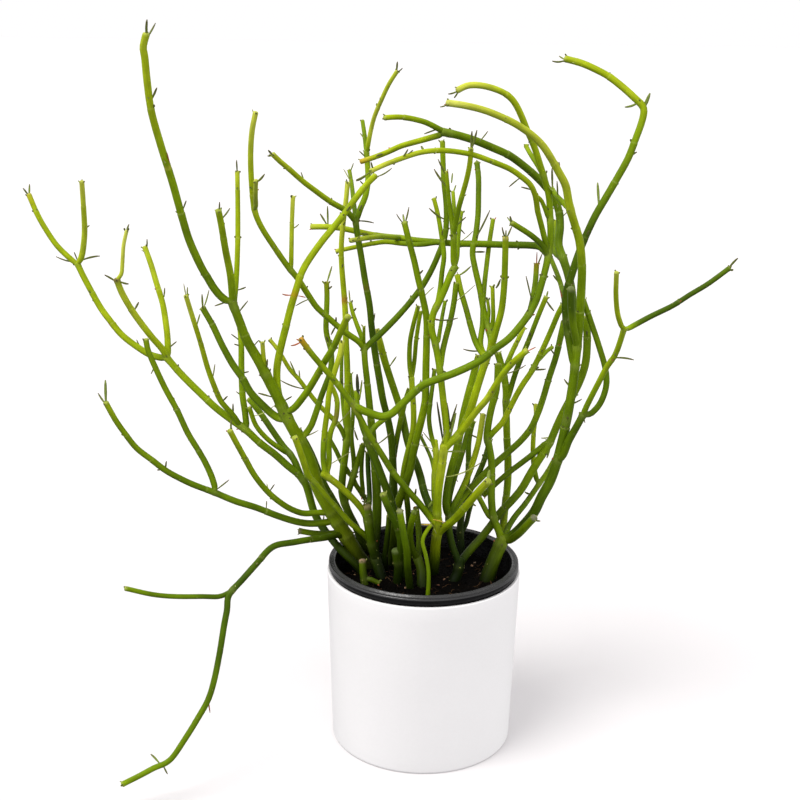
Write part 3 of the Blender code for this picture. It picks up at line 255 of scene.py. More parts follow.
# Each rooted stem with its branches. A branch names the branch that it leaves, its radius in mm at foot and
# tip, and its route to the tip: across and down in the drawing, and at some points how far behind the pot's
# axis it lies, in mm. The branch that leaves no other starts at the stem's foot.
STEMS = {
    "left_trunk": {
        "trunk": (None, 8.4, 4.2, [
            (361, 560), (352, 546), (343, 531, 20), (334, 516), (325, 501), (317, 485), (312, 468),
            (306, 452), (296.5, 435), (287, 417.5), (279, 400, -15), (270, 383), (260, 363), (247, 340.5),
            (239, 320), (231.6, 301, -40)]),
        "long_left": ("trunk", 3.9, 3.2, [
            (233, 304), (226.5, 300.5), (220.5, 296), (213.5, 287.5), (207.5, 277.5), (201, 266.5),
            (189.5, 241), (181.5, 215), (173.5, 186), (168.3, 169), (161, 146), (151.5, 112), (147.3, 83),
            (144.7, 57), (143.2, 47), (146, 35, -95)]),
        "tine_a": ("trunk", 3.6, 3.1, [
            (233, 304), (230.5, 276), (225.5, 250), (221.5, 226), (218.5, 211, -75)]),
        "tine_b": ("trunk", 2.8, 2.3, [
            (234, 304), (236, 283), (237.2, 260), (237.8, 234), (237.8, 206), (237.3, 172, -10)]),
        "hoop": ("trunk", 3.9, 3.2, [
            (281, 404), (277.5, 388), (277, 368), (280.5, 348.5), (285.5, 328.5), (291, 306.5),
            (296.5, 288.5), (302, 272, -3), (310, 258), (323, 240), (333, 228), (341, 218), (350, 206),
            (358, 195), (367, 184), (375, 176, 45)]),
        "spur_right": ("trunk", 3.6, 3.3, [
            (285, 413), (294, 408), (302, 398.5), (309.5, 388), (317.5, 374.5), (325, 361), (333, 348),
            (340, 333), (346, 320), (348, 317, -70)]),
        "kinked": ("trunk", 3.4, 2.8, [
            (299, 442), (304, 435.5), (311, 426), (316.5, 411), (321, 397), (326, 384), (330, 373),
            (331.5, 361), (330.5, 348), (327.5, 338), (326, 328), (326.5, 312), (327, 296),
            (326.5, 283, 48)]),
        "shoulder": ("trunk", 4.2, 3.2, [
            (287, 421), (275, 416), (264, 406.5), (251, 393), (243, 379), (232.5, 364), (222, 345),
            (213, 326), (203, 308.5, 15)]),
        "twin_dark": ("trunk", 4.6, 4.2, [
            (346, 533), (341, 516), (333, 501), (325, 487), (318.5, 473), (313, 459), (306.5, 445.5),
            (298, 431, 36)]),
        "knuckle": ("trunk", 2.5, 2.2, [(266, 372), (263.5, 357), (262.5, 343, -30)]),
        "low_left": ("trunk", 3.8, 2.8, [
            (337, 520), (325, 522.5), (310, 523.5), (296, 521.5), (278, 516), (256, 507.5), (235, 501),
            (214.5, 492.5), (203, 488.3), (188, 482.3), (167, 471.3), (152, 460), (136.5, 448),
            (125, 433.5), (115.5, 420), (106, 403, -60)]),
        "low_side": ("low_left", 3.3, 2.9, [
            (216, 492), (212, 477.5), (205, 462), (197.5, 449), (187.5, 432.5), (177, 410), (165, 388),
            (154, 364.5), (148, 350), (146, 340, -5)]),
        "low_second": ("trunk", 3.3, 2.9, [
            (332, 513), (320, 512.5), (305.5, 513.5), (295.5, 511), (284, 505), (269, 493), (255, 476),
            (245, 458.5), (237.5, 445), (230, 431, -45)]),
        "blunt_side": ("trunk", 3.4, 3.1, [
            (347, 534), (336, 533), (325, 533.8), (313, 533.2), (300, 531, 10)]),
        "droop": ("trunk", 3.5, 2.8, [
            (345, 536), (336, 535), (326, 537.5), (310, 539.5, -20), (292, 542.5), (277, 545), (268, 550.5),
            (258, 562), (242, 580), (229, 595, -85), (227, 610), (224, 626), (219.6, 653.5), (214, 681),
            (208, 700), (198, 718), (185, 739), (170, 760, -150), (154, 768), (139, 776),
            (123, 784, -165)]),
        "droop_arm": ("droop", 2.6, 2.4, [
            (231, 592), (219, 596.5), (203, 596.5), (176, 596.5), (153, 594.5), (126, 588.6, -120)]),
    },
    "far_left": {
        "main": (None, 4.2, 3.8, [
            (358, 567, 0), (349, 558, -3), (340, 549, -2), (330, 537), (321, 525, 42), (314, 512),
            (310, 498), (306, 485), (299, 475), (288, 466), (274.5, 454), (260, 443), (245.5, 429.5),
            (232.5, 420.5), (215.5, 407.5), (198, 391), (181, 374), (167, 358, 85)]),
        "outer": ("main", 3.8, 3.3, [
            (168, 359), (151, 355), (136, 346), (121.5, 334.5), (110, 320.5), (100.5, 307.5), (92, 292.5),
            (83, 275.5), (77.5, 264, 110)]),
        "outer_tip": ("outer", 3.1, 2.9, [
            (78, 265), (68.5, 257), (56.5, 245), (45, 228), (37, 213.5), (29, 195, 125)]),
        "outer_up": ("outer", 3.3, 2.6, [
            (78, 265), (82, 255), (84, 241), (84.6, 228), (83.5, 206.6), (81.8, 182, 90)]),
        "fork_left": ("main", 3.6, 3.4, [
            (168, 359), (161.5, 348), (153, 338.5), (140.5, 322.5), (130.8, 308.5), (121.5, 292),
            (117, 280, 60)]),
        "fork_thin": ("fork_left", 2.2, 2.0, [
            (118, 282), (121.4, 274), (122.6, 260), (123.6, 245), (126.6, 231, 55)]),
        "fork_up": ("main", 3.6, 3.0, [
            (168, 359), (167.5, 338), (165.5, 320.5), (162.5, 303), (156.5, 283), (151, 264.5),
            (145, 247.5, 130)]),
        "fine_up": ("main", 3.2, 2.5, [
            (241, 427), (232.5, 414.5), (221.5, 402), (215, 388), (208, 369), (200, 341), (192.5, 317),
            (186, 296, 35)]),
        "upright": ("main", 3.6, 3.2, [
            (247, 432), (245, 412), (242.5, 395), (241.5, 372), (241.3, 346), (240.5, 330, 95)]),
        "pair_a": ("main", 3.7, 3.3, [
            (301, 478), (296, 464), (290, 454), (283.5, 446.5), (273, 431.5), (261, 414),
            (249.5, 399.5, 105)]),
        "pair_b": ("pair_a", 2.9, 2.5, [
            (291, 455.5), (281, 449), (268, 439.5), (256, 425.5), (249.5, 408, 65)]),
    },
    "fork_stem": {
        "main": (None, 5.8, 3.0, [
            (376, 560), (374, 546, 12), (376.5, 525), (377, 500), (376, 480), (374.5, 460), (373, 440),
            (371, 420), (369, 400), (367, 380), (365, 362), (364, 345, 30)]),
        "node": ("main", 5.0, 4.9, [(377, 562), (373, 549), (370, 534), (368, 520), (366.8, 507, -6)]),
        "dark_back": ("node", 2.8, 2.6, [
            (368, 513), (369.5, 500), (369, 484), (368, 467), (367.8, 453, 30)]),
        "arm_low": ("node", 3.1, 2.9, [
            (371.5, 542), (366, 536.5), (359, 530), (350, 522.5), (340, 511.5), (330, 500.5), (321, 490),
            (313, 481), (307, 476, -28)]),
        "arm_high": ("node", 3.4, 3.5, [
            (368.5, 523), (363, 511), (355, 501), (345, 491), (334, 481.5), (323, 474, -20)]),
        "arm_cap": ("arm_low", 3.6, 3.2, [
            (313, 482), (308, 475), (304, 463), (299.5, 450), (295, 438, -45)]),
        "twin_a": ("arm_high", 3.0, 2.8, [
            (326, 477), (323.5, 462), (323.5, 445), (325, 428), (327.5, 410), (329, 394), (333, 378),
            (337, 364), (340.5, 352), (341.5, 342, -10)]),
        "twin_b": ("arm_high", 3.0, 2.6, [
            (326, 477), (329, 462), (329, 445), (331, 431), (336, 418), (337, 400), (332.5, 388, 25)]),
        "swan_left": ("main", 3.3, 2.6, [
            (364.5, 348), (358, 341), (350, 335.5), (340, 328), (328, 317.5), (317, 307.5), (308, 294.5),
            (298, 279), (287, 265.5), (274.8, 248), (262.5, 229), (256, 215), (253.3, 202), (251.5, 182),
            (250.6, 160), (251, 143), (252.5, 128), (255.5, 113, -30)]),
        "swan_shoot": ("swan_left", 2.4, 2.2, [(256, 211), (255.5, 195), (256, 181, -55)]),
        "swan_upright": ("swan_left", 2.4, 2.2, [(291, 270), (291.5, 245), (292, 220), (293, 197, 5)]),
        "swing_right": ("main", 3.3, 2.8, [
            (364.5, 348), (374.5, 339.5), (385.5, 329), (398.5, 315.5), (411.5, 300.5), (423, 285),
            (432, 269), (439, 253), (444.5, 238), (446.5, 220), (446, 202), (444, 182), (443, 160),
            (442.5, 142, 85)]),
        "peg": ("main", 1.7, 1.5, [(364, 347), (364, 327, 22)]),
        "back_left": ("main", 2.8, 2.0, [
            (364.5, 348), (362, 338), (357, 325), (352.5, 312), (350.5, 303, 50)]),
    },
    "pale_stem": {
        "main": (None, 4.6, 2.6, [
            (366, 547, 46), (356, 527, 48), (347, 509), (342, 492), (343, 472), (345.5, 452), (347.5, 430),
            (347, 405), (347.5, 385), (347, 362), (346, 340), (345.5, 318), (344.5, 300, 108), (343, 282),
            (341.5, 262), (341.5, 242), (343.5, 220), (346, 200), (347.5, 183, 112)]),
        "crossing": ("main", 2.9, 2.2, [
            (346.5, 441), (340, 427), (330, 416), (318, 404), (306.5, 389.5), (299, 379.5), (290, 369.5),
            (283, 358), (277, 348.5), (270, 340, 75)]),
        "stub_top": ("main", 3.6, 3.2, [
            (345, 502), (349, 490), (353, 477), (357.5, 462), (362.5, 446, 85)]),
        "thin_up": ("stub_top", 2.9, 1.8, [
            (354, 474), (354, 462), (352.5, 449), (351.5, 435), (353, 415), (352.5, 396), (351, 384),
            (350.5, 374, 120)]),
        "cross_low": ("stub_top", 2.8, 2.3, [
            (352.5, 479), (346.5, 469), (341, 461), (336.5, 451.5), (331, 441.5), (325, 431, 92)]),
        "cross_foot": ("stub_top", 2.8, 2.6, [(352.5, 479), (358, 488), (363, 495.5), (367.5, 502, 66)]),
        "back_a": ("cross_foot", 2.5, 2.4, [
            (364, 497), (362.5, 487), (361.5, 473), (362, 458), (363.5, 444, 75)]),
        "dark_side": ("main", 2.4, 2.0, [
            (346, 430), (344, 415), (342.5, 400), (341.5, 384), (341.5, 366), (342, 348, 118)]),
    },
    "tall_stem": {
        "main": (None, 4.4, 3.2, [
            (400, 540), (396, 515), (394, 490), (393, 465), (391.5, 440), (388, 420), (383, 400),
            (379.5, 380), (375.5, 356), (372, 330), (369.5, 305), (365, 280), (361, 255), (357.5, 235),
            (355, 217, 95)]),
        "arm_left": ("main", 3.2, 2.7, [
            (356, 221), (345.5, 210.5), (331, 202), (315, 190.5), (302, 180.5), (288.5, 168.5),
            (278.5, 160), (273, 154.5, 40)]),
        "riser": ("main", 3.3, 2.9, [
            (356, 221), (361, 207), (365.5, 196), (368, 180), (367.5, 165), (366.5, 152, 120)]),
        "riser_a": ("riser", 2.6, 2.2, [(366.6, 155), (364.8, 137), (362.5, 121, 140)]),
        "riser_b": ("riser", 2.5, 2.2, [
            (366.6, 155), (369.5, 137), (374, 118), (381, 101), (389, 84), (397, 71.5, 95)]),
        "leaning_up": ("main", 2.7, 2.2, [(356, 221), (353.5, 200), (351.5, 183), (349.5, 171, 160)]),
    },
    "lean_stem": {
        "main": (None, 4.8, 4.0, [
            (404.5, 560), (402, 545), (398, 528), (394, 512), (389, 496), (383, 480), (377, 464),
            (371, 450), (366.5, 438, -5)]),
        "right_tip": ("main", 3.2, 2.7, [(368, 442), (372, 431), (378, 424), (384.5, 419, 8)]),
        "left_tip": ("main", 3.3, 2.8, [
            (367.5, 440), (363, 428), (359.5, 416), (357, 404), (356.5, 392, 20)]),
    },
    "centre_trunk": {
        "main": (None, 6.0, 4.6, [(434.5, 560), (435.5, 545), (437.5, 530), (438, 519, -12)]),
        "pale_arm": ("main", 4.3, 3.8, [
            (436.5, 534), (443, 528), (452, 521.5), (461, 512), (470, 501.5), (479, 491),
            (488, 481.5, -55)]),
        "bright": ("main", 4.6, 4.2, [
            (437.5, 523), (437, 508), (438, 492), (440.5, 474), (443, 458), (444, 446, -25)]),
        "bright_right": ("bright", 4.2, 3.9, [
            (443.5, 450), (450, 442.5), (458, 435.5), (465, 423), (471, 408), (476, 391), (481, 375),
            (487, 356, -20)]),
        "needle_fan": ("bright_right", 3.5, 3.1, [
            (459, 434), (467, 424), (477, 410.5), (487, 399), (495, 386), (503, 374), (512, 363.5),
            (526, 351, -70)]),
        "upright": ("bright", 3.4, 3.4, [
            (443.5, 450), (446.5, 436), (445.5, 420), (443.5, 402), (441.5, 384), (439, 364), (435.5, 345),
            (431.5, 328), (433.5, 313), (439.5, 301), (445.5, 287.5), (450, 276), (455, 267, -10)]),
        "upright_tip": ("upright", 3.3, 1.8, [
            (454, 269), (453.5, 252), (453.5, 236), (452, 220), (449.5, 205), (448, 190),
            (446.5, 172, -20)]),
        "upright_side": ("upright_tip", 2.7, 2.4, [
            (453.5, 236), (457, 215), (462, 196), (467, 178), (470, 162), (471, 149, -45)]),
        "upright_short": ("upright_tip", 2.2, 1.8, [(452.5, 224), (454, 210), (453, 192, 5)]),
        "upright_back": ("upright", 2.4, 2.0, [
            (453, 271), (457, 258), (458, 242), (459.5, 226), (461.5, 212, 20)]),
        "whip": ("upright", 2.7, 2.2, [
            (437, 306), (440, 290), (442, 272), (444, 255), (441.5, 236), (438, 215), (434, 199, 20)]),
        "rib_a": ("upright", 3.0, 2.8, [
            (440.5, 368), (442.5, 352), (446, 337), (450.5, 320), (454, 302), (456, 284, 22)]),
        "rib_b": ("upright", 2.2, 1.9, [(437.5, 346), (440, 330), (442.5, 315), (445, 302, 28)]),
        "step_a": ("bright_right", 3.2, 2.9, [
            (486.5, 359), (477, 345), (471.5, 329), (466, 308.5), (461, 291.5), (457.5, 276, 30)]),
        "step_b": ("bright_right", 3.0, 2.3, [
            (487, 360), (480.5, 345), (482.5, 325), (483, 305), (484.5, 284), (487, 262), (489.5, 242),
            (493, 220, 62)]),
        "step_c": ("bright_right", 3.3, 2.9, [
            (487, 360), (491, 342), (488, 327), (484, 312), (480, 290), (475, 268), (472.5, 252),
            (475.5, 236), (478, 215), (478.5, 195), (478.5, 178), (477, 163, 92)]),
        "step_d": ("bright_right", 3.4, 3.0, [
            (486.5, 359), (492, 345), (496.5, 329), (501.5, 310), (504, 288), (505, 264),
            (505.6, 238, -40)]),
        "peg_a": ("step_c", 2.3, 2.0, [(490, 334), (493, 320), (493, 305), (492.5, 287, 0)]),
        "peg_b": ("step_c", 1.9, 1.6, [(487.5, 325), (489, 312), (487.5, 300, 10)]),
        "companion": ("bright", 3.4, 3.0, [
            (437.5, 515), (434.5, 496), (434.5, 476), (436, 457), (435, 441, 12)]),
        "companion_up": ("companion", 2.6, 2.2, [
            (435.5, 450), (431, 434), (429, 418), (430.5, 402), (432.5, 386), (434.5, 370, 30)]),
        "dark_left": ("main", 4.2, 3.9, [
            (438, 524), (431, 509), (424.5, 493), (420.5, 477), (416, 463), (411, 452), (407, 439),
            (404.5, 427, 84), (401.5, 413, 88), (397, 398.5), (390, 377.5), (384.5, 360), (380.5, 345),
            (376.5, 331, 95)]),
        "dark_thin": ("companion", 2.0, 1.8, [(434.5, 474), (431.5, 460), (427, 449), (421, 437, 55)]),
        "diagonal": ("main", 3.5, 3.0, [
            (437, 526), (429.5, 516.5), (420.5, 505), (410.5, 493.5), (401, 482.5), (391.5, 470),
            (383, 456.5), (374, 442.5), (366, 429.5), (359, 416), (352, 403.5), (344, 393), (335, 381),
            (322, 366), (311, 353), (301, 339.5, -60)]),
        "long_arch": ("diagonal", 4.0, 3.0, [
            (353, 404), (361, 409.5), (371, 413.5), (382, 416.5), (391, 414, -40), (400, 406), (411, 395.5),
            (423, 385), (438, 379), (452, 374), (468, 367), (482.5, 359), (495.5, 348.5, -45), (509, 338.5),
            (520.5, 325.5), (529, 314), (536, 301), (542, 282), (547, 262), (550.5, 240), (550, 215),
            (549, 197, 10), (545, 181), (539.5, 163), (534, 146), (527.5, 131), (521, 115), (514.5, 102.5),
            (506.5, 94.5), (495, 89), (481, 85.5), (468, 85.5), (458, 90, -35)]),
        "arch_low": ("long_arch", 2.9, 2.4, [
            (548.5, 252), (545, 240), (541.5, 226), (537.5, 210), (535.5, 196.5), (530.5, 185),
            (521, 176.5), (510, 169), (492, 161.5), (474, 155), (455, 151.5), (438, 150.5), (420, 152.5),
            (402.5, 158), (385, 164.5), (371, 171, -70)]),
        "rail": ("long_arch", 3.6, 3.1, [
            (548, 256), (541, 247.5), (530, 245.3), (507.6, 244.8), (482, 244), (456.5, 243.5), (437, 242),
            (418, 240.5), (400, 238), (385, 236.5, 116), (370, 234.3), (355, 231), (340, 228), (326, 226.8),
            (312, 226.8, 138)]),
        "rail_mid": ("rail", 2.8, 2.5, [(402, 238), (384, 236.8), (367, 238), (351, 240.5, 20)]),
        "rail_low": ("rail", 2.8, 2.5, [
            (441, 241.5), (421, 244.5), (402, 243.5), (386, 241.8), (370, 244), (353, 247.5),
            (337, 251, 130)]),
        "rail_shoot": ("long_arch", 3.0, 2.7, [
            (548.5, 254), (540, 243), (530, 234.5), (520, 228), (512, 223, -25)]),
        "cup_shoot": ("long_arch", 3.0, 2.7, [(530, 312), (533, 298), (535.5, 281), (536.5, 265, 15)]),
        "thumb": ("long_arch", 2.5, 2.3, [(544, 177), (538, 166), (531, 155), (526, 146, 35)]),
        "arch_thread": ("long_arch", 2.3, 2.0, [(549.3, 222), (545.5, 210), (541, 200), (537, 196.5, -2)]),
    },
    "vee_stem": {
        "main": (None, 6.0, 5.0, [(457, 574), (460, 560, -2)]),
        "left": ("main", 3.8, 3.5, [(460, 565), (454.5, 552), (450.5, 538), (448.5, 524), (449, 512, 12)]),
        "fan_a": ("left", 4.2, 3.7, [
            (449, 518), (446, 505), (447.5, 488), (451, 470), (456, 452), (460, 434), (463, 416),
            (467, 399), (471, 384), (475, 369), (478.5, 357, 32)]),
        "fan_b": ("left", 3.5, 3.1, [
            (449, 515), (455, 503), (460, 493.5), (465.5, 482), (470, 470), (473.5, 460), (476.5, 450),
            (479, 440), (481, 428), (483, 415, 55)]),
        "fan_d": ("left", 3.0, 2.8, [
            (449, 513), (449.5, 498), (453, 483), (457, 470), (460.5, 459), (463.5, 448), (466, 438),
            (469, 428, 50)]),
        "fan_e": ("left", 3.2, 3.0, [
            (449, 514), (458, 503.5), (467, 495), (474, 483.5), (479, 472.5), (483.5, 462), (487, 451),
            (489.5, 441, 72)]),
        "fan_c": ("left", 3.7, 3.5, [
            (448.7, 519), (457, 505), (467, 492.5), (477, 481.5, 38), (487, 471.5), (497, 462, 56),
            (509, 451.5), (521, 440.5), (531, 428), (537.5, 414), (543, 398.5), (549, 378), (556, 356.5),
            (561.5, 333), (564, 322, 105)]),
        "right": ("main", 4.3, 4.2, [
            (458.5, 566), (464, 557.5), (471, 549), (481, 538), (490.5, 526, 34), (500, 513), (511, 501.5),
            (521.5, 489), (530.5, 473.5), (540, 458), (549.5, 443), (556, 428), (562, 415), (568.5, 402.5),
            (575, 391), (581, 378), (585.5, 363), (587, 347), (587, 331), (585.5, 318, 75)]),
        "slim": ("right", 3.2, 2.9, [
            (549.5, 440), (537.5, 450.5), (524, 461), (509.5, 472), (496, 483.5), (484, 495, 48)]),
    },
    "right_trunk": {
        "main": (None, 8.0, 6.6, [(491, 567), (497, 552), (503, 539, 8)]),
        "upright": ("main", 4.2, 3.7, [
            (502, 543), (498.5, 530), (493.5, 518), (491.5, 500), (491.5, 482), (491.5, 462), (488.8, 445),
            (487, 436), (489, 420), (492, 406), (496, 392), (497.5, 378), (498, 365, 62)]),
        "upright_fork": ("upright", 3.2, 2.9, [
            (487.5, 440), (493, 432.5), (502, 423), (509.5, 409), (516, 396), (523, 384), (531.5, 371.5),
            (538.5, 358), (546, 342), (553, 326), (558, 314), (562.5, 306, 50)]),
        "fork_leaf": ("upright_fork", 2.4, 2.1, [(532, 367), (541, 357.5), (547, 351), (552, 347.5, 85)]),
        "side": ("upright", 3.0, 2.8, [(493, 521), (487, 512.5), (482.5, 504), (479, 497.5, 30)]),
        "dark": ("main", 4.2, 3.8, [
            (503.5, 541), (503.5, 524, 42), (505, 507, 60), (507.5, 485, 72), (508, 462, 80), (507, 440),
            (506.5, 420), (506, 402), (506, 388), (502.5, 370), (498, 354, 100)]),
        "dark_fork": ("dark", 3.1, 2.7, [
            (506, 404), (510, 391), (514.5, 376), (520, 361), (526, 347), (532, 332), (537, 319),
            (541.5, 308), (546, 297.5, 110)]),
        "dark_short": ("dark", 3.0, 2.7, [
            (503.5, 376), (507, 364), (513, 350), (519, 338), (523.5, 328, 135)]),
        "stub": ("main", 4.3, 3.9, [(504, 542), (513, 538), (520.5, 532), (527.5, 524.5), (534, 518, -20)]),
        "inner": ("main", 3.3, 2.8, [
            (504, 540), (508, 528), (515, 516.5), (523.5, 506), (531.5, 495), (539, 484), (546.5, 473.5),
            (553, 462, 85)]),
        "thin_up": ("inner", 2.9, 2.5, [
            (538.5, 485), (535.5, 475), (533.5, 462), (533, 446), (534, 430), (536, 415),
            (535.5, 405, 100)]),
        "arch": ("main", 5.6, 3.0, [
            (503.5, 541), (514.5, 534), (525, 523.5), (534.5, 511.5, -5), (541.5, 497), (550, 481.5),
            (556, 465.5), (560.5, 448), (564.5, 431), (568, 414), (570.5, 399), (573, 383), (575, 366),
            (577, 347), (579, 327), (580.3, 308, -10), (581.3, 289), (582, 270), (581, 253), (579, 239),
            (575, 225), (570.5, 210), (568, 198), (565.5, 185), (559, 172.5), (551.5, 159), (543, 146),
            (533, 136), (522, 128), (509, 120.5), (486.5, 111), (465, 105.5), (448, 103, -90)]),
        "arch_side": ("arch", 2.9, 2.5, [(570, 208), (563, 202.5), (557.5, 197), (552.5, 189.5, 10)]),
        "far_arch": ("arch", 4.1, 3.4, [
            (574.5, 368), (571, 350), (567.5, 328), (565.5, 308), (567, 291), (571, 277), (575.5, 263),
            (581, 247.5), (588, 231), (596, 214.5), (606, 197.5), (617, 178.5), (628, 158.5), (636, 138),
            (642, 121), (643.5, 108), (634.6, 98), (622.5, 87), (609, 76.6), (595, 69), (581, 63),
            (566, 59, 60)]),
        "back_arch": ("far_arch", 4.4, 3.9, [
            (568, 332), (572, 310), (571.5, 291), (568, 274), (563, 258.5), (558.5, 244), (560, 230),
            (559.5, 215), (555, 200, 85), (546, 187), (535, 175.5), (522, 164.5), (508.5, 155),
            (492, 147.5), (475, 140.5), (457, 135), (443, 132, 25)]),
        "back_arch_up": ("back_arch", 3.0, 2.6, [
            (447, 133), (438, 128.5), (426, 122.5), (411, 118.5), (398, 117), (385, 117.7, 0)]),
        "back_arch_low": ("back_arch", 3.1, 2.6, [
            (446, 133), (433, 137), (418, 141.2), (401, 146), (389, 151.5), (375, 157),
            (361.5, 161.5, 60)]),
        "back_inner": ("back_arch", 3.2, 2.8, [(562, 258), (555, 252), (553.5, 238), (554.5, 222, 105)]),
        "far_back": ("far_arch", 2.8, 2.5, [
            (566.5, 318), (564, 300), (561, 285), (556, 271), (551, 259, 95)]),
        "cut_stub": ("arch", 3.9, 3.6, [(577, 345), (574, 330), (571.5, 312), (571, 289, -40)]),
        "outer": ("arch", 4.3, 3.8, [(556, 462), (563, 454.5), (568, 442), (575, 429.5), (583, 415, -25)]),
        "outer_fork": ("outer", 3.0, 2.8, [
            (582, 417), (587, 405.5), (593, 393.5), (599.5, 381), (606.5, 367.5), (615, 355), (620, 342),
            (624, 329, -60)]),
        "outer_up": ("outer_fork", 2.6, 2.3, [(623.5, 331), (618, 315.5), (616, 296), (616.5, 273, -90)]),
        "outer_right": ("outer_fork", 2.8, 2.5, [
            (623.5, 331), (637.5, 323.5), (651.5, 316), (673, 305.5), (689.5, 295), (708.5, 283.5),
            (729, 268.5, -40)]),
        "outer_loop": ("outer", 3.2, 3.0, [
            (582, 417), (590, 414), (598, 406.5), (603.5, 396), (606.5, 383), (605, 367), (600, 349.5),
            (594, 331), (588.5, 315), (583.5, 301, 0)]),
    },
    "plain_stem": {
        "main": (None, 4.8, 3.0, [
            (393, 545), (395, 520), (399, 501), (405, 485), (410, 470), (413, 454), (417, 437),
            (421.5, 419), (425, 402.5), (425.7, 385), (426, 366), (426.6, 340), (426.5, 318), (422.5, 297),
            (418, 278), (414, 260), (409, 241), (404.5, 223, 25)]),
        "ladder": ("main", 3.2, 3.0, [
            (404.5, 487), (403, 478), (404, 470), (405.5, 462), (409, 447.5), (412, 436), (413.5, 424),
            (413.5, 408), (412.5, 392), (411.5, 378, 50)]),
        "dark_mid": ("main", 3.2, 3.0, [
            (404.5, 487), (406.5, 497), (408, 510), (409, 525), (410.5, 541), (411, 555, 33)]),
        "ladder_a": ("ladder", 2.7, 2.3, [
            (411.5, 380), (409.5, 362), (410, 342), (413.5, 324), (418, 307, 40)]),
        "ladder_b": ("ladder", 2.4, 2.2, [
            (411.5, 380), (414.5, 360), (416, 342), (418.5, 324), (420.5, 312, 65)]),
    },
    "thin_stem": {
        "main": (None, 3.6, 2.8, [
            (391, 535), (391, 508), (392, 482), (393.5, 460), (396.5, 441), (400.5, 421), (405, 402),
            (409, 390, 75)]),
    },
    "stub_fork": {
        "main": (None, 5.2, 4.6, [(421, 570), (416, 554, 0)]),
        "small": ("main", 3.6, 3.2, [
            (417, 558), (411.5, 546), (410, 534), (411.5, 523), (414.5, 512, -22)]),
        "dark": ("main", 3.6, 3.2, [(418, 562), (419.5, 545), (418.5, 528), (416, 508, 20)]),
    },
    "tan_stub": {
        "main": (None, 3.9, 3.4, [
            (407.5, 566), (407, 552, -44), (404.5, 538), (402, 524), (399.7, 511, -50)]),
    },
    "round_stub": {
        "main": (None, 5.0, 4.8, [(398.5, 568), (396, 551, -24)]),
        "left": ("main", 4.2, 3.7, [
            (399, 560), (401, 548), (400, 536), (396, 524), (390, 511), (386, 502), (383.3, 494.5, -40)]),
    },
    "front_stub": {
        "main": (None, 4.1, 3.8, [(363.3, 573), (362.6, 561, -20)]),
        "side": ("main", 3.0, 2.6, [(364.5, 577), (369.5, 579), (374, 581), (378.5, 583, -27)]),
    },
    "slim_stem": {
        "main": (None, 3.2, 2.8, [(385, 558), (386.7, 542), (388, 530), (389, 516, 5)]),
    },
    "front_shoot": {
        "main": (None, 2.2, 1.9, [
            (428.5, 585), (428.3, 570), (425.5, 554), (422.5, 542), (425.5, 533), (431, 525, -45)]),
    },
    "back_stem": {
        "main": (None, 4.0, 2.8, [
            (461, 545), (460, 528), (463, 508), (466, 490), (468, 475), (468.5, 460), (468.5, 447),
            (470, 434), (473, 422, 118)]),
        "side": ("main", 2.8, 2.5, [(460.5, 534), (466, 524), (469, 512), (473, 498, 95)]),
    },
}

FOOT_RADII = {stem: next(iter(branches.values()))[1] for stem, branches in STEMS.items()}

# How fresh a stem's green is at the foot and tip of each branch that has no row of its own below, from 0 for
# the darkest old stems to 1 for the palest shoots
# These values also hold painted light and shade: they were matched to how light or dark each branch looks
STEM_FRESHNESS_AND_SHADE = {
    "fork_stem": (0.40, 0.55),
    "tall_stem": (0.20, 0.45),
    "lean_stem": (0.34, 0.48),
    "centre_trunk": (0.42, 0.55),
    "right_trunk": (0.30, 0.50),
    "plain_stem": (0.38, 0.50),
    "thin_stem": (0.25, 0.40),
    "stub_fork": (0.32, 0.46),
    "tan_stub": (0.30, 0.40),
    "round_stub": (0.16, 0.26),
    "front_stub": (0.30, 0.42),
    "slim_stem": (0.16, 0.26),
    "front_shoot": (0.44, 0.52),
    "back_stem": (0.16, 0.26),
}

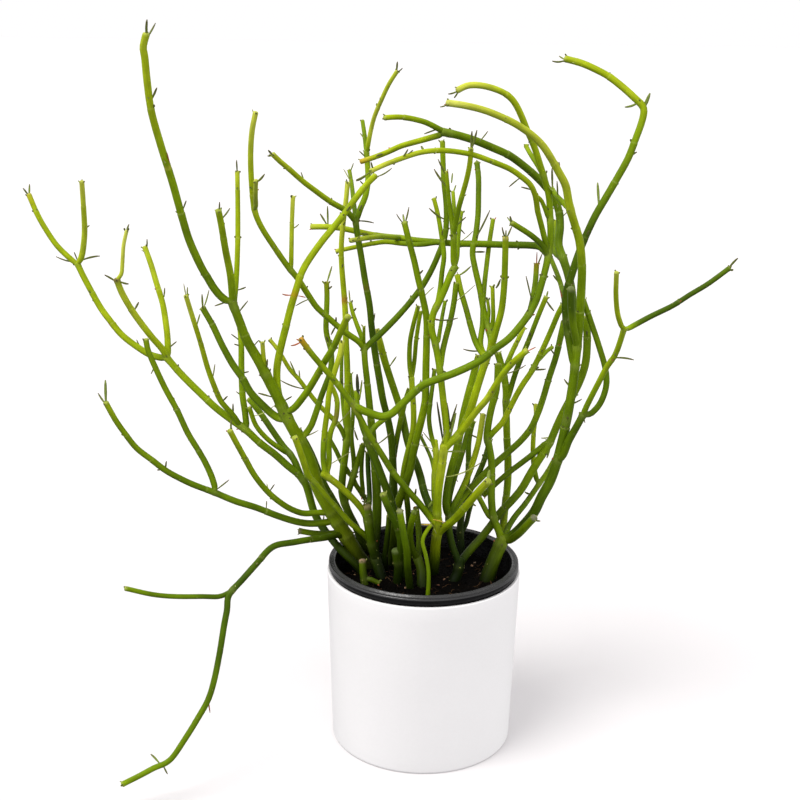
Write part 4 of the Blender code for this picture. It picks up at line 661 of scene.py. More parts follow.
# The same for single branches, in values spread evenly from foot to tip
BRANCH_FRESHNESS_AND_SHADE = {
    "left_trunk": {
        "trunk": (0.78, 0.64, 0.54, 0.48, 0.40), "long_left": (0.28, 0.36, 0.34, 0.60, 0.58),
        "tine_a": (0.50, 0.54), "tine_b": (0.62, 0.76), "hoop": (0.70, 0.60, 0.64, 0.62, 0.66),
        "spur_right": (0.34, 0.62), "kinked": (0.30, 0.42), "shoulder": (0.22, 0.30),
        "knuckle": (0.76, 0.86), "low_left": (0.44, 0.34, 0.42, 0.50), "low_side": (0.30, 0.32),
        "low_second": (0.44, 0.46), "droop": (0.40, 0.20, 0.24, 0.38, 0.54), "droop_arm": (0.32, 0.46),
        "blunt_side": (0.32, 0.46), "twin_dark": (0.24, 0.20),
    },
    "far_left": {
        "main": (0.36, 0.20, 0.28, 0.42, 0.54), "outer": (0.68, 0.70), "outer_up": (0.80, 0.86),
        "outer_tip": (0.70, 0.74), "fork_thin": (1.00, 1.06), "fork_up": (0.78, 0.78),
        "fork_left": (0.66, 0.88), "fine_up": (0.50, 0.76), "upright": (0.40, 0.54), "pair_a": (0.22, 0.28),
        "pair_b": (0.60, 0.40),
    },
    "fork_stem": {
        "main": (0.06, 0.26, 0.36, 0.32, 0.42), "arm_high": (0.70, 0.74), "arm_low": (0.64, 0.66),
        "arm_cap": (0.62, 0.70), "twin_a": (0.34, 0.84), "twin_b": (0.44, 0.62),
        "swan_left": (0.58, 0.50, 0.62, 0.72, 0.94), "swan_upright": (0.82, 0.90),
        "swan_shoot": (0.80, 0.90), "swing_right": (0.16, 0.26, 0.24, 0.32, 0.52), "node": (0.30, 0.38),
        "dark_back": (0.02, 0.02),
    },
    "pale_stem": {
        "main": (0.44, 0.30, 0.52, 0.60, 0.84), "crossing": (0.54, 0.80), "stub_top": (0.44, 0.52),
        "thin_up": (0.30, 0.44), "cross_low": (0.30, 0.38), "cross_foot": (0.36, 0.30),
        "dark_side": (0.34, 0.44), "back_a": (0.26, 0.24),
    },
    "tall_stem": {
        "main": (0.14, 0.24, 0.10, 0.24), "arm_left": (0.54, 0.76), "riser": (0.46, 0.52),
        "riser_b": (0.94, 0.80),
    },
    "lean_stem": {
        "main": (0.18, 0.16),
    },
    "centre_trunk": {
        "pale_arm": (0.60, 0.70, 0.74, 0.74), "bright": (0.46, 0.60, 0.80, 0.68),
        "bright_right": (0.60, 0.74), "upright": (0.58, 0.56), "upright_side": (0.42, 0.64),
        "companion": (0.62, 0.76), "companion_up": (0.18, 0.34), "dark_left": (0.02, 0.66),
        "dark_thin": (0.24, 0.30), "diagonal": (0.28, 0.60), "long_arch": (0.44, 0.30, 0.28, 0.50, 0.86),
        "arch_low": (0.54, 0.68, 0.60, 0.84), "rail": (0.18, 0.28, 0.40, 0.56, 0.68),
        "rail_shoot": (0.12, 0.48), "rail_mid": (0.50, 0.84), "rail_low": (0.36, 0.80),
        "rib_a": (0.28, 0.36), "step_a": (0.28, 0.60), "step_b": (0.42, 0.54), "step_c": (0.48, 0.26),
        "step_d": (0.62, 0.50), "main": (0.20, 0.32, 0.78, 0.80), "needle_fan": (0.88, 0.66),
        "whip": (0.28, 0.56), "rib_b": (0.33, 0.32), "peg_a": (0.50, 0.62), "cup_shoot": (0.30, 0.36),
    },
    "vee_stem": {
        "fan_a": (0.26, 0.58), "fan_b": (0.48, 0.92), "fan_d": (0.22, 0.30), "fan_e": (0.22, 0.18),
        "fan_c": (0.46, 0.26), "left": (0.20, 0.26), "right": (0.46, 0.34), "main": (0.00, 0.14),
        "slim": (0.24, 0.40),
    },
    "right_trunk": {
        "main": (0.20, 0.66), "upright": (0.50, 0.34, 0.42), "upright_fork": (0.84, 0.44),
        "dark": (0.76, 0.60, 0.52, 0.30), "dark_fork": (0.10, 0.50), "dark_short": (0.50, 0.70),
        "inner": (0.28, 0.36), "arch": (0.18, 0.28, 0.44, 0.76, 0.94),
        "far_arch": (0.28, 0.08, 0.10, 0.30, 0.62, 0.58), "back_arch": (0.24, 0.38),
        "back_arch_up": (0.50, 0.62), "back_arch_low": (0.72, 0.70), "cut_stub": (0.50, 0.36, 0.12),
        "outer": (0.24, 0.24), "outer_fork": (0.46, 0.68), "outer_up": (0.70, 0.82),
        "outer_right": (0.06, 0.12), "outer_loop": (0.26, 0.22, 0.30), "side": (0.42, 0.48),
        "thin_up": (0.50, 0.84), "far_back": (0.28, 0.28),
    },
    "plain_stem": {
        "main": (0.50, 0.32), "dark_mid": (0.36, 0.22), "ladder": (0.50, 0.66),
    },
    "back_stem": {
        "main": (0.08, 0.24),
    },
}

# How red a branch's tip is
RED_TIPS = {
    ("centre_trunk", "diagonal"): 0.55,
    ("right_trunk", "back_arch_low"): 0.45,
    ("centre_trunk", "cup_shoot"): 0.25,
    ("left_trunk", "kinked"): 0.12,
    ("far_left", "outer_tip"): 0.15,
}
# Dry crowns on cut or blunt stub tops; several are darkened as painted shade, like the feet
CROWNS = {
    ("front_stub", "main"): (0.30, 0.20, 0.13),
    ("tan_stub", "main"): (0.24, 0.25, 0.13),
    ("round_stub", "main"): (0.11, 0.15, 0.04),
    ("stub_fork", "small"): (0.13, 0.18, 0.03),
    ("stub_fork", "dark"): (0.10, 0.14, 0.03),
    ("right_trunk", "stub"): (0.22, 0.22, 0.15),
    ("right_trunk", "cut_stub"): (0.16, 0.20, 0.07),
    ("left_trunk", "blunt_side"): (0.20, 0.18, 0.09),
    ("far_left", "fork_left"): (0.22, 0.16, 0.05),
    ("fork_stem", "node"): (0.24, 0.20, 0.08),
    ("centre_trunk", "step_d"): (0.55, 0.50, 0.10),
}
# Weathered patches: stem, branch, place in the drawing, reach in the drawing, colour and strength
MARKS = [
    ("left_trunk", "hoop", 296.5, 295, 3.5, (0.50, 0.22, 0.01), 0.75),
    ("left_trunk", "long_left", 168, 167, 2.2, (0.45, 0.42, 0.05), 0.6),
    ("pale_stem", "main", 344, 300, 4.0, (0.36, 0.15, 0.02), 0.8),
    ("fork_stem", "twin_b", 337, 416, 7.0, (0.22, 0.13, 0.04), 0.6),
    ("left_trunk", "low_second", 330, 513, 4.0, (0.42, 0.26, 0.17), 0.7),
    ("tall_stem", "main", 364, 288, 3.0, (0.20, 0.07, 0.02), 0.6),
    ("centre_trunk", "diagonal", 357, 406, 6.0, (0.42, 0.42, 0.06), 0.6),
    ("right_trunk", "arch", 571, 420, 5.0, (0.30, 0.33, 0.10), 0.4),
]

# Leftover leaves and small twigs on each stem: foot and tip in the drawing, across and down, and their
# kind where it is not dry
LEAVES = {
    "left_trunk": [
        (146, 36, 147, 19.5), (145, 40, 155.5, 23), (146, 36, 147, 27, "fresh"), (152, 99, 157, 87.5),
        (170, 165, 167, 152.5, "red"), (183, 209.5, 186.3, 200.5), (221.5, 219, 230, 208),
        (219, 212, 219.6, 202), (237.3, 173, 236.6, 160), (237.8, 290, 246, 287), (237.5, 314, 248, 300.7),
        (226.6, 301.9, 214.6, 306), (203, 309, 202, 294, "fresh"), (203, 309, 209, 290, "fresh"),
        (309.5, 299, 295.5, 306), (291, 295, 282, 294, "red"), (298.5, 296, 305.5, 297.5, "red"),
        (375, 177, 392, 168), (326.6, 284, 332, 266, "fresh"), (326.6, 285, 322, 281, "fresh"),
        (327, 289, 332, 286), (106, 404, 105.4, 380, "fat"), (106, 404, 98, 393), (165.5, 470, 166.4, 461),
        (162, 469, 157, 469.8), (216, 490, 229.2, 479.7), (266.3, 508, 266.8, 501), (154, 367, 151, 374),
        (269.4, 492, 274.5, 484.4), (160, 764, 150.6, 754, "fresh"), (163, 765, 167.5, 774),
        (208, 700, 210, 713, "red"), (284, 401, 291.8, 396.4), (231, 431, 231, 420),
        (298, 438, 318.4, 430.3, "pale"), (272, 397, 258, 393), (266, 369, 267.6, 359),
        (253, 347, 259, 340), (323, 523, 324, 515),
    ],
    "far_left": [
        (29, 196, 23, 188), (29.2, 196, 29.6, 184, "fresh"), (77.5, 262, 56, 256.6), (78, 262, 74, 252),
        (80, 261, 100, 256), (96.6, 303, 92.3, 300), (84.8, 229, 89.5, 225.5), (118, 283, 104.4, 274.8),
        (119, 281, 128.8, 284), (126, 232, 129, 224), (134.5, 310, 138.8, 302), (147, 248, 147, 239),
        (149, 254, 141.5, 250, "pale"), (164, 297, 164.7, 287.6), (140.5, 348, 136.6, 339.7),
        (168, 349, 176.7, 341.5), (186.5, 297, 183.7, 283.5, "pale"), (187, 297, 187.5, 287, "fresh"),
        (197, 325, 200, 314, "fresh"), (212.5, 380, 215, 364, "pale"), (222, 402, 227.5, 396),
        (250, 416, 275, 405, "pale"), (233, 419, 233, 403.5), (240, 341, 231, 334), (241, 346, 234, 344),
        (242, 373, 249, 371.6), (243, 397, 236, 391.5),
    ],
    "fork_stem": [
        (256, 182, 264.7, 174), (292, 229, 299, 224, "pale"), (350.5, 304, 349, 290, "fresh"),
        (353, 312, 356.3, 308), (332, 429, 350.3, 410.2, "pale"), (329, 465, 351, 451.5, "pale"),
        (363, 511, 369, 502, "pale"), (361, 509, 366, 499), (336, 324, 336, 317), (336, 326, 331, 335),
        (304, 290, 308, 286),
    ],
    "pale_stem": [
        (298, 379, 290, 361, "fresh"), (300, 381, 299, 370, "fresh"), (306, 389, 280, 380),
        (360, 533, 350, 531),
    ],
    "tall_stem": [
        (273, 155, 268.2, 150), (273.5, 155, 267.5, 156), (304, 180, 301, 172), (396.5, 72, 397.4, 61.5),
        (396.5, 72, 402.5, 68), (366, 141, 360, 133, "fresh"), (356, 221, 374, 223), (366, 158, 359, 151),
        (366, 176, 356, 181), (366, 186, 360, 181), (351, 183, 343.5, 169, "pale"),
        (349.5, 172, 353.5, 163, "fresh"), (357.5, 214, 362, 205), (372, 330, 375, 313),
    ],
    "lean_stem": [
        (378.5, 443.5, 391, 433), (358, 398, 357, 374, "dark"), (359.5, 400, 362, 380, "fresh"),
        (358, 440, 354.5, 430), (367, 503, 362, 501), (367, 503, 371, 500), (367, 506, 364, 509),
    ],
    "centre_trunk": [
        (459, 90, 448, 94), (459, 90, 454, 98), (371.5, 171, 356, 180), (373, 170, 371, 162),
        (402, 158, 408, 149), (404, 158, 413, 150), (424, 151, 421, 146), (520, 178, 509, 187),
        (302, 341, 290.6, 345.7, "red"), (532, 190, 521, 187), (448, 188, 434, 169), (446.5, 176, 438, 159),
        (444, 219, 429, 208), (451.5, 183, 452.5, 173, "fresh"), (453, 194, 456, 185, "fresh"),
        (471, 150, 472, 131), (471, 150, 477, 130), (479, 142, 488, 131), (453.5, 228, 466, 217),
        (459, 227, 465, 234), (461, 241, 473, 231, "pale"), (475, 240, 490, 210), (473, 252, 485, 252),
        (505.6, 239, 502, 227), (505.8, 239, 506, 230, "fresh"), (506, 240, 512, 226),
        (512, 224, 507, 217, "fresh"), (512, 224, 510, 216), (536.5, 266, 537, 252, "red"),
        (536.8, 266, 542, 254), (457, 276, 471, 266, "fresh"), (455, 302, 475, 285, "pale"),
        (484, 350, 463, 349), (440, 369, 449, 374), (432.5, 319, 440, 320, "red"), (436, 320, 458, 318),
        (496, 288, 500.5, 279), (532, 302, 526, 276), (504, 374, 526, 365), (526, 352, 536, 347, "red"),
        (436, 450, 420, 445, "pale"), (436, 448, 423, 432, "fresh"), (444, 452, 466, 452, "fresh"),
        (445, 477, 483, 461, "pale"), (444, 447, 437, 402, "dark"), (450, 425, 447, 403, "dark"),
        (446, 442, 457, 404), (449, 443, 456, 413, "fat"), (440, 446, 446, 430, "pale"),
        (434, 500, 428.5, 508.5, "fat"), (487.5, 483, 489.5, 470, "fat"), (474, 494, 465, 485, "pale"),
        (470, 501, 476, 506), (432, 490.5, 427.5, 489.5), (416, 489, 415, 496),
        (389.5, 366.5, 396.5, 356.5, "fresh"), (328, 227, 327.5, 206, "fresh"), (327, 225, 320, 213.6),
    ],
    "vee_stem": [
        (549, 437, 541, 438, "pale"), (552, 436, 547, 458, "fat"), (453, 474, 458, 482, "pale"),
        (466, 432, 482, 439.5),
    ],
    "right_trunk": [
        (448, 104, 440, 107), (552.5, 190, 552, 168), (559, 171, 559, 162), (555, 222, 568, 211),
        (558, 196, 557, 181), (566, 60, 552, 61), (566, 60, 559, 56, "fresh"), (643, 109, 650, 93, "fat"),
        (639, 102, 625, 107, "fat"), (629, 156, 637, 152), (599, 207, 597.6, 182.5, "fat"),
        (614, 358, 634, 360), (728, 269, 738, 258), (583, 415, 585, 423), (568, 405, 582, 399),
        (534, 520, 540.5, 521), (529, 369, 546, 369), (550, 348, 555, 355), (546, 299, 548, 291, "fresh"),
        (546, 300, 554, 311), (558, 282, 553, 275, "fresh"), (563, 300, 560, 290, "red"),
        (572, 388, 564, 379), (438, 129, 424, 134), (525, 492, 530, 494), (505, 120, 500, 113),
    ],
    "plain_stem": [
        (404.5, 224, 396.5, 214), (404.7, 224, 409, 207), (404.5, 224, 403, 214, "fresh"),
        (423, 298, 434, 287, "pale"), (417, 276, 423, 270),
    ],
    "front_shoot": [
        (431, 525, 421, 524.5, "amber"), (433, 519.5, 446, 523, "amber"), (434, 529, 436.5, 534, "pale"),
    ],
}
LEAF_KINDS = {
    "dry": {"colour": (0.120, 0.150, 0.016), "width": 0.95, "thickness": 0.62},
    "dark": {"colour": (0.030, 0.045, 0.010), "width": 1.6, "thickness": 1.0},
    "fresh": {"colour": (0.230, 0.310, 0.030), "width": 0.90, "thickness": 0.6},
    "fat": {"colour": (0.220, 0.300, 0.040), "width": 1.55, "thickness": 1.1},
    "pale": {"colour": (0.370, 0.430, 0.090), "width": 0.62, "thickness": 0.42},
    "red": {"colour": (0.420, 0.100, 0.020), "width": 0.72, "thickness": 0.5},
    "amber": {"colour": (0.420, 0.290, 0.030), "width": 0.72, "thickness": 0.5},
}
LEAF_LEANS = (-5.0, 3.0, 6.0, -2.0)
LEAF_STATIONS = 7
LEAF_SIDES = 6
LEAF_BOW_UP = (-0.10, 0.04)
LEAF_BOW_BACK = (-0.08, 0.08)
LEAF_COLOUR_SPREAD = (0.8, 1.25)
LEAF_THINNING = 0.8
# Shares of a leaf's width at shares of its length, and where it starts to turn brown
LEAF_WIDTH_PLACES = [0.0, 0.15, 0.55, 0.85, 1.0]
LEAF_WIDTHS = [0.75, 0.85, 1.25, 0.95, 0.45]
LEAF_BROWN_FROM = 0.55
LEAF_BROWN_RISE = 1.6
LEAF_BROWN_MOST = 0.7
FAT_BROWN_SHARE = 0.25
LEAF_BROWN = np.array([0.085, 0.055, 0.022])

# Leaves hidden from the drawing, at some of the joints
HIDDEN_SHARE = 0.4
HIDDEN_LENGTHS = (7, 12)
HIDDEN_ACROSS = (-0.35, 0.35)
HIDDEN_UP = (0.1, 0.5)
HIDDEN_OUT = 0.85
HIDDEN_ON = 0.55
HIDDEN_KINDS = ("dry", "dry", "fresh", "pale")

# Colours of the stems' skin, linear, from the darkest to the freshest green
SKIN_STOPS = [0.0, 0.25, 0.5, 0.75, 1.0, 1.25]
SKIN_COLOURS = np.array([
    (0.024, 0.056, 0.0008),
    (0.094, 0.163, 0.0010),
    (0.200, 0.304, 0.0018),
    (0.374, 0.464, 0.0070),
    (0.560, 0.600, 0.0600),
    (0.720, 0.740, 0.1800),
])
# Painted shade: how much each colour channel of the stems' skin is darkened on its underside
UNDERSIDE_PAINTED_SHADE = np.array([0.64, 0.56, 0.70])
RED_SKIN = np.array([0.62, 0.16, 0.02])
TIP_SKIN = np.array([0.50, 0.52, 0.14])
SCAR_SKIN = np.array([0.30, 0.31, 0.10])
PALE_RING = np.array([0.42, 0.44, 0.15])

# Painted shade in the pot's mouth: feet darkened towards the soil, and the stems' sides that face the pot's
# axis darkened
FOOT_SHADE_COLOUR = np.array([0.004, 0.009, 0.001])
FOOT_SHADE_HEIGHT = 64.0
FOOT_SHADE_SHARE = 0.94
FOOT_SHADE_SHARES = {"front_shoot": 0.25, "front_stub": 0.60}
INNER_PAINTED_SHADE = 0.72
INNER_HEIGHT = 190.0
INNER_LEVEL = 0.35
OVER_POT_FAR = 150.0
OVER_POT_FADE = 50.0

# Colours and sheen of the pots, soil and floor
GLAZE_COLOUR = (0.915, 0.905, 0.910)
GLAZE_SPECK_COLOUR = (0.55, 0.53, 0.49)
PLASTIC_COLOUR = (0.0045, 0.0045, 0.0050)
SCUFF_COLOUR = (0.022, 0.022, 0.023)
DUST_COLOUR = (0.040, 0.036, 0.030)
# The soil is darker than potting mix itself: its colour also holds painted shade in the pot's mouth
SOIL_AND_SHADE_COLOUR = (0.0016, 0.0011, 0.0007)
GRIT_COLOUR = (0.006, 0.004, 0.003)
FLOOR_COLOUR = (0.735, 0.720, 0.727)
SKIN_SPECULAR = 0.08
LEAF_SPECULAR = 0.35
GLAZE_SPECULAR = 0.45
SOIL_SPECULAR = 0.05
FLOOR_SPECULAR = 0.1
FRESH_SKIN_ROUGHNESS = 0.44
FRESH_SKIN_DOTS = 0.9
DEEP_SKIN_ROUGHNESS = 0.50
DEEP_SKIN_DOTS = 0.7
SKIN_SHINIER = 0.07
SKIN_DULLER = 0.09

# Strewn chips and fibres, in mm, and the chips' colours with how common each is
LITTER_SEED = 4417
LITTER_SMOOTH_ANGLE = 28
CHIPS = 1500
CHIP_FIELD_RADIUS = 88.5
CHIP_WALL_RADIUS = 91.0
CHIP_LARGEST = 3.6
CHIP_SMALLEST_AT_WALL = 0.7
CHIP_FLATNESS = (0.25, 0.6)
CHIP_SPREAD = (0.05, 0.5)
CHIP_SHADES = (0.7, 1.3)
CHIP_LIFT = 0.15
CRUMB_POINTS = 11
CRUMB_REACH = (0.75, 1.0)
CRUMB_NARROWNESS = (0.5, 0.7)
CRUMB_TILT = (-0.5, 0.5)
# The darkest chip colours are darkened further as painted shade, like the soil
CHIP_COLOURS = [
    ((0.0016, 0.0011, 0.0008), 64),
    ((0.0045, 0.0026, 0.0016), 28),
    ((0.030, 0.014, 0.006), 5),
    ((0.110, 0.048, 0.018), 1.6),
    ((0.240, 0.160, 0.080), 0.8),
    ((0.360, 0.330, 0.270), 0.5),
]
FIBRES = 160
FIBRE_FIELD_RADIUS = 84.0
FIBRE_LENGTHS = (5, 15)
FIBRE_RADII = (0.16, 0.42)
FIBRE_SIDES = 5
FIBRE_BENDS = (-1.4, 1.4)
FIBRE_LIFT = 0.5
FIBRE_WAVES = 3.0
FIBRE_TAPER = np.array([0.5, 0.9, 1.0, 0.95, 0.8, 0.3])
FIBRE_COLOURS = ((0.030, 0.018, 0.010), (0.090, 0.050, 0.025), (0.012, 0.008, 0.006))
NEAR_FULL_TURN = 6.28

# Chips that stand out in the pot's mouth: across, down, size in mm and colour
SEEN_CHIP_FLATNESS = 0.4
SEEN_CHIPS = [
    (472, 565, 2.9, (0.34, 0.20, 0.12)),
    (475, 562, 2.4, (0.40, 0.28, 0.20)),
    (463, 567.5, 2.3, (0.46, 0.38, 0.26)),
    (480, 573.5, 1.9, (0.36, 0.26, 0.18)),
    (447, 577.5, 2.4, (0.36, 0.24, 0.12)),
    (444, 580.5, 2.6, (0.30, 0.17, 0.11)),
    (438, 584, 2.1, (0.26, 0.13, 0.08)),
    (450, 582, 1.8, (0.30, 0.20, 0.12)),
    (405, 590, 2.0, (0.34, 0.20, 0.12)),
    (401, 586, 1.6, (0.26, 0.13, 0.08)),
    (415, 569, 1.9, (0.30, 0.14, 0.08)),
    (413.5, 573, 1.5, (0.24, 0.11, 0.07)),
    (398, 583, 1.4, (0.22, 0.10, 0.06)),
    (353, 570, 1.5, (0.20, 0.12, 0.08)),
    (379, 579.5, 2.2, (0.36, 0.38, 0.36)),
]

# Studio levels: places and sizes in m, angles in degrees
WORLD_COLOUR = (0.985, 0.970, 0.978)
WORLD_HORIZON = 1.03
WORLD_BELOW = 0.58
SKY_FROM = (-0.45, -0.25, 0.85)
SKY_DIM = 0.72
SKY_BRIGHT = 1.15
SKY_TURN = (-0.2, 1.0)
SKY_RISE = (0.06, 0.22)
BELOW_RISE = (-0.10, -0.01)
KEY_STRENGTH = 1.9
KEY_WIDTH = 30.0
KEY_FROM = (-0.42, -0.30, 1.0)
KEY_COLOUR = (1.0, 0.985, 0.96)
FILL_PLACE = (0.70, -0.14, 0.12)
FILL_AIM = (0.06, -0.04, 0.085)
FILL_SIZE = 0.34
FILL_POWER = 0.15
FILL_SPREAD = 62.0
FLOOR_REACH = 60.0


def eye_frame():
    """Returns the eye's place and its forward, right and up directions."""
    forward = np.array([0.0, math.cos(EYE_PITCH), -math.sin(EYE_PITCH)])
    level = np.array([1.0, 0.0, 0.0])
    rise = np.array([0.0, math.sin(EYE_PITCH), math.cos(EYE_PITCH)])
    right = level * math.cos(EYE_ROLL) + rise * math.sin(EYE_ROLL)
    up = rise * math.cos(EYE_ROLL) - level * math.sin(EYE_ROLL)
    return EYE_TARGET - forward * EYE_DISTANCE, forward, right, up


EYE, FORWARD, RIGHT, UP = eye_frame()


def sight_lines(drawn):
    """Directions from the eye through drawn points."""
    across = (drawn[:, :1] - DRAWING_CENTRE) / EYE_FOCAL
    rise = (DRAWING_CENTRE - drawn[:, 1:2]) / EYE_FOCAL
    return FORWARD + RIGHT * across + UP * rise


def placed(drawn, depths):
    """Points in mm on the lines of sight of drawn points, at the given distances behind the pot's axis."""
    sight = sight_lines(drawn)
    reach = (depths - EYE[1]) / sight[:, 1]
    return EYE + sight * reach[:, None]


def drawn_at(point):
    """Where a point in mm is seen in the drawing."""
    offset = np.array(point, float) - EYE
    distance = offset @ FORWARD
    across = DRAWING_CENTRE + EYE_FOCAL * (offset @ RIGHT) / distance
    down = DRAWING_CENTRE - EYE_FOCAL * (offset @ UP) / distance
    return across, down


def on_level(across, down, height):
    """The point in mm at a height that is seen at a place in the drawing."""
    sight = sight_lines(np.array([(across, down)], float))[0]
    return EYE + sight * (height - EYE[2]) / sight[2]


def smooth_route(knots):
    """A smooth curve through the knots in closely spaced points, and the place of each knot in it."""
    padded = np.vstack([2 * knots[0] - knots[1], knots, 2 * knots[-1] - knots[-2]])
    points = [knots[0]]
    places = [0]
    for k in range(len(knots) - 1):
        before, start, end, after = padded[k:k + 4]
        count = max(1, int(round(np.linalg.norm(end - start) / DRAWING_STEP)))
        for n in range(1, count + 1):
            t = n / count
            points.append(0.5 * (2 * start + (end - before) * t
                                 + (2 * before - 5 * start + 4 * end - after) * t ** 2
                                 + (3 * start - before - 3 * end + after) * t ** 3))
        places.append(len(points) - 1)
    return np.array(points), places


def arc_lengths(points):
    """How far along a route each of its points lies."""
    return np.concatenate([[0.0], np.cumsum(np.linalg.norm(np.diff(points, axis=0), axis=1))])


def direction(start, end):
    """The unit direction from one point to another."""
    return (end - start) / max(np.linalg.norm(end - start), 1e-9)


def grow_stem(stem):
    """Returns the stem's branches, each with its points, radii and parent, all in mm."""
    branches = {}
    for name, (parent, foot_radius, tip_radius, route) in STEMS[stem].items():
        if parent is None:
            route = [drawn_at((*FEET[stem], SOIL_TOP)), *route]
        drawn, places = smooth_route(np.array([knot[:2] for knot in route], float))
        if parent is None:
            foot = None
            foot_depth = float(FEET[stem][1])
        else:
            trunk = branches[parent]
            foot = int(np.argmin(np.linalg.norm(trunk["drawn"] - drawn[0], axis=1)))
            drawn[0] = trunk["drawn"][foot]
            foot_depth = trunk["depth"][foot]
            trunk["nodes"].append(foot)
        arc = arc_lengths(drawn)
        known_arcs = [0.0] + [arc[place] for place, knot in zip(places, route) if len(knot) == 3]
        known_depths = [foot_depth] + [knot[2] for knot in route if len(knot) == 3]
        depth = np.interp(arc, known_arcs, known_depths)
        for _ in range(DEPTH_SMOOTHING):
            depth[1:-1] += 0.5 * (0.5 * (depth[:-2] + depth[2:]) - depth[1:-1])
        branches[name] = {
            "parent": parent,
            "foot": foot,
            "drawn": drawn,
            "depth": depth,
            "points": placed(drawn, depth),
            "radii": foot_radius + (tip_radius - foot_radius) * arc / arc[-1],
            "nodes": [],
        }
    return branches


def refined(points):
    """The same route with points twice as close, on a smooth curve."""
    padded = np.vstack([2 * points[0] - points[1], points, 2 * points[-1] - points[-2]])
    middles = (-padded[:-3] + 9 * padded[1:-2] + 9 * padded[2:-1] - padded[3:]) / 16
    out = np.empty((2 * len(points) - 1, 3))
    out[0::2] = points
    out[1::2] = middles
    return out


class Form:
    """Collects the corners and faces of one piece, with a colour and a grain place at each corner."""

    def __init__(self):
        self.corners = []
        self.colours = []
        self.grain = []
        self.faces = []
        self.materials = []
        self.count = 0

    def add(self, corners, colours, grain, faces, material):
        """Adds corners with their faces, which count from the first of these corners."""
        self.corners.append(corners)
        self.colours.append(colours)
        self.grain.append(grain)
        self.faces.extend([tuple(int(k) + self.count for k in face) for face in faces])
        self.materials.extend([material] * len(faces))
        self.count += len(corners)

    def add_plain(self, corners, colour, faces):
        """Adds corners of one colour with the first material."""
        corners = np.array(corners)
        colours = np.repeat(np.array(colour)[None], len(corners), axis=0)
        self.add(corners, colours, corners, faces, 0)

    def finish(self, name, materials, smooth_angle=None):
        """Makes the mesh of all that was added, and returns its object."""
        mesh = bpy.data.meshes.new(name)
        corners = np.vstack(self.corners) * MM
        mesh.from_pydata(corners.tolist(), [], self.faces)
        mesh.update()
        colour = mesh.attributes.new("tint", "FLOAT_COLOR", "POINT")
        shades = np.ones((self.count, 4), np.float32)
        shades[:, :3] = np.vstack(self.colours)
        colour.data.foreach_set("color", shades.ravel())
        grain = mesh.attributes.new("grain", "FLOAT_VECTOR", "POINT")
        grain.data.foreach_set("vector", np.vstack(self.grain).astype(np.float32).ravel())
        mesh.polygons.foreach_set("material_index", np.array(self.materials, np.int32))
        for material in materials:
            mesh.materials.append(material)
        mesh.shade_smooth()
        if smooth_angle is not None:
            mesh.set_sharp_from_angle(angle=math.radians(smooth_angle))
        node = bpy.data.objects.new(name, mesh)
        bpy.context.scene.collection.objects.link(node)
        return node


def sweep_frames(points):
    """Tangents and two steady side directions along a route."""
    tangents = np.gradient(points, axis=0)
    tangents /= np.linalg.norm(tangents, axis=1)[:, None]
    side = np.cross(tangents[0], (0.0, 0.0, 1.0))
    if np.linalg.norm(side) < 0.2:
        side = np.cross(tangents[0], (0.0, 1.0, 0.0))
    sides = np.empty_like(points)
    for k, tangent in enumerate(tangents):
        side = side - (side @ tangent) * tangent
        side = side / np.linalg.norm(side)
        sides[k] = side
    return tangents, sides, np.cross(tangents, sides)


def ring_faces(rings, sides):
    """Quads between rings, then a cap of one face at the foot and one at the tip."""
    faces = []
    for ring in range(rings - 1):
        for k in range(sides):
            after = (k + 1) % sides
            a = ring * sides
            b = a + sides
            faces.append((a + k, a + after, b + after, b + k))
    faces.append(tuple(range(sides - 1, -1, -1)))
    last = (rings - 1) * sides
    faces.append(tuple(last + k for k in range(sides)))
    return faces


def skin_colour(freshness):
    """The skin's colour for how fresh it is, held at the ends of the scale."""
    return np.stack([np.interp(freshness, SKIN_STOPS, SKIN_COLOURS[:, k]) for k in range(3)], axis=-1)


def mixed(colours, other, share):
    """Colours with another colour mixed in."""
    share = np.clip(share, 0.0, 1.0)[:, None]
    return colours * (1 - share) + other * share


def branch_route(branch, trunk):
    """Points and radii of a branch from inside its trunk or down in the soil to the foot of its tip."""
    points = refined(refined(branch["points"]))
    own_shares = np.linspace(0, 1, len(branch["radii"]))
    radii = np.interp(np.linspace(0, 1, len(points)), own_shares, branch["radii"])
    if trunk is None:
        foot = points[0].copy()
        foot[2] = SOIL_TOP - 1.0
        sunk = foot.copy()
        sunk[2] = SOIL_TOP - BURIED
        keep = points[:, 2] > SOIL_TOP + ROOT_TOP + ROOT_TOP_SHARE * radii[0]
        points = np.vstack([sunk, foot, points[keep]])
        radii = np.concatenate([[radii[0], radii[0]], radii[keep]])
        return points, radii, 0.0
    root_radius = min(radii[0], ROOT_SHARE * trunk["radii"][branch["foot"]])
    grown = np.clip(arc_lengths(points) / ROOT_GROWTH, 0, 1)
    radii = root_radius + (radii - root_radius) * grown
    collar_place = COLLAR_PLACE * trunk["radii"][branch["foot"]]
    if branch["foot"] == len(trunk["points"]) - 1:
        back = direction(trunk["points"][-1], trunk["points"][-2])
        start = trunk["points"][-1] + END_FORK_SUNK * root_radius * back
        points = np.vstack([start, points])
        radii = np.concatenate([[END_FORK_WIDTH * root_radius], radii])
        collar_place = END_FORK_SUNK * root_radius + END_FORK_COLLAR
    return points, radii, collar_place


def joint_places(first, last, chance):
    """Where the joints between a branch's segments lie along it."""
    places = []
    place = first + chance.uniform(*JOINT_GAPS)
    while place < last - JOINT_CLEARANCE:
        places.append(place)
        place += chance.uniform(*JOINT_GAPS)
    return places


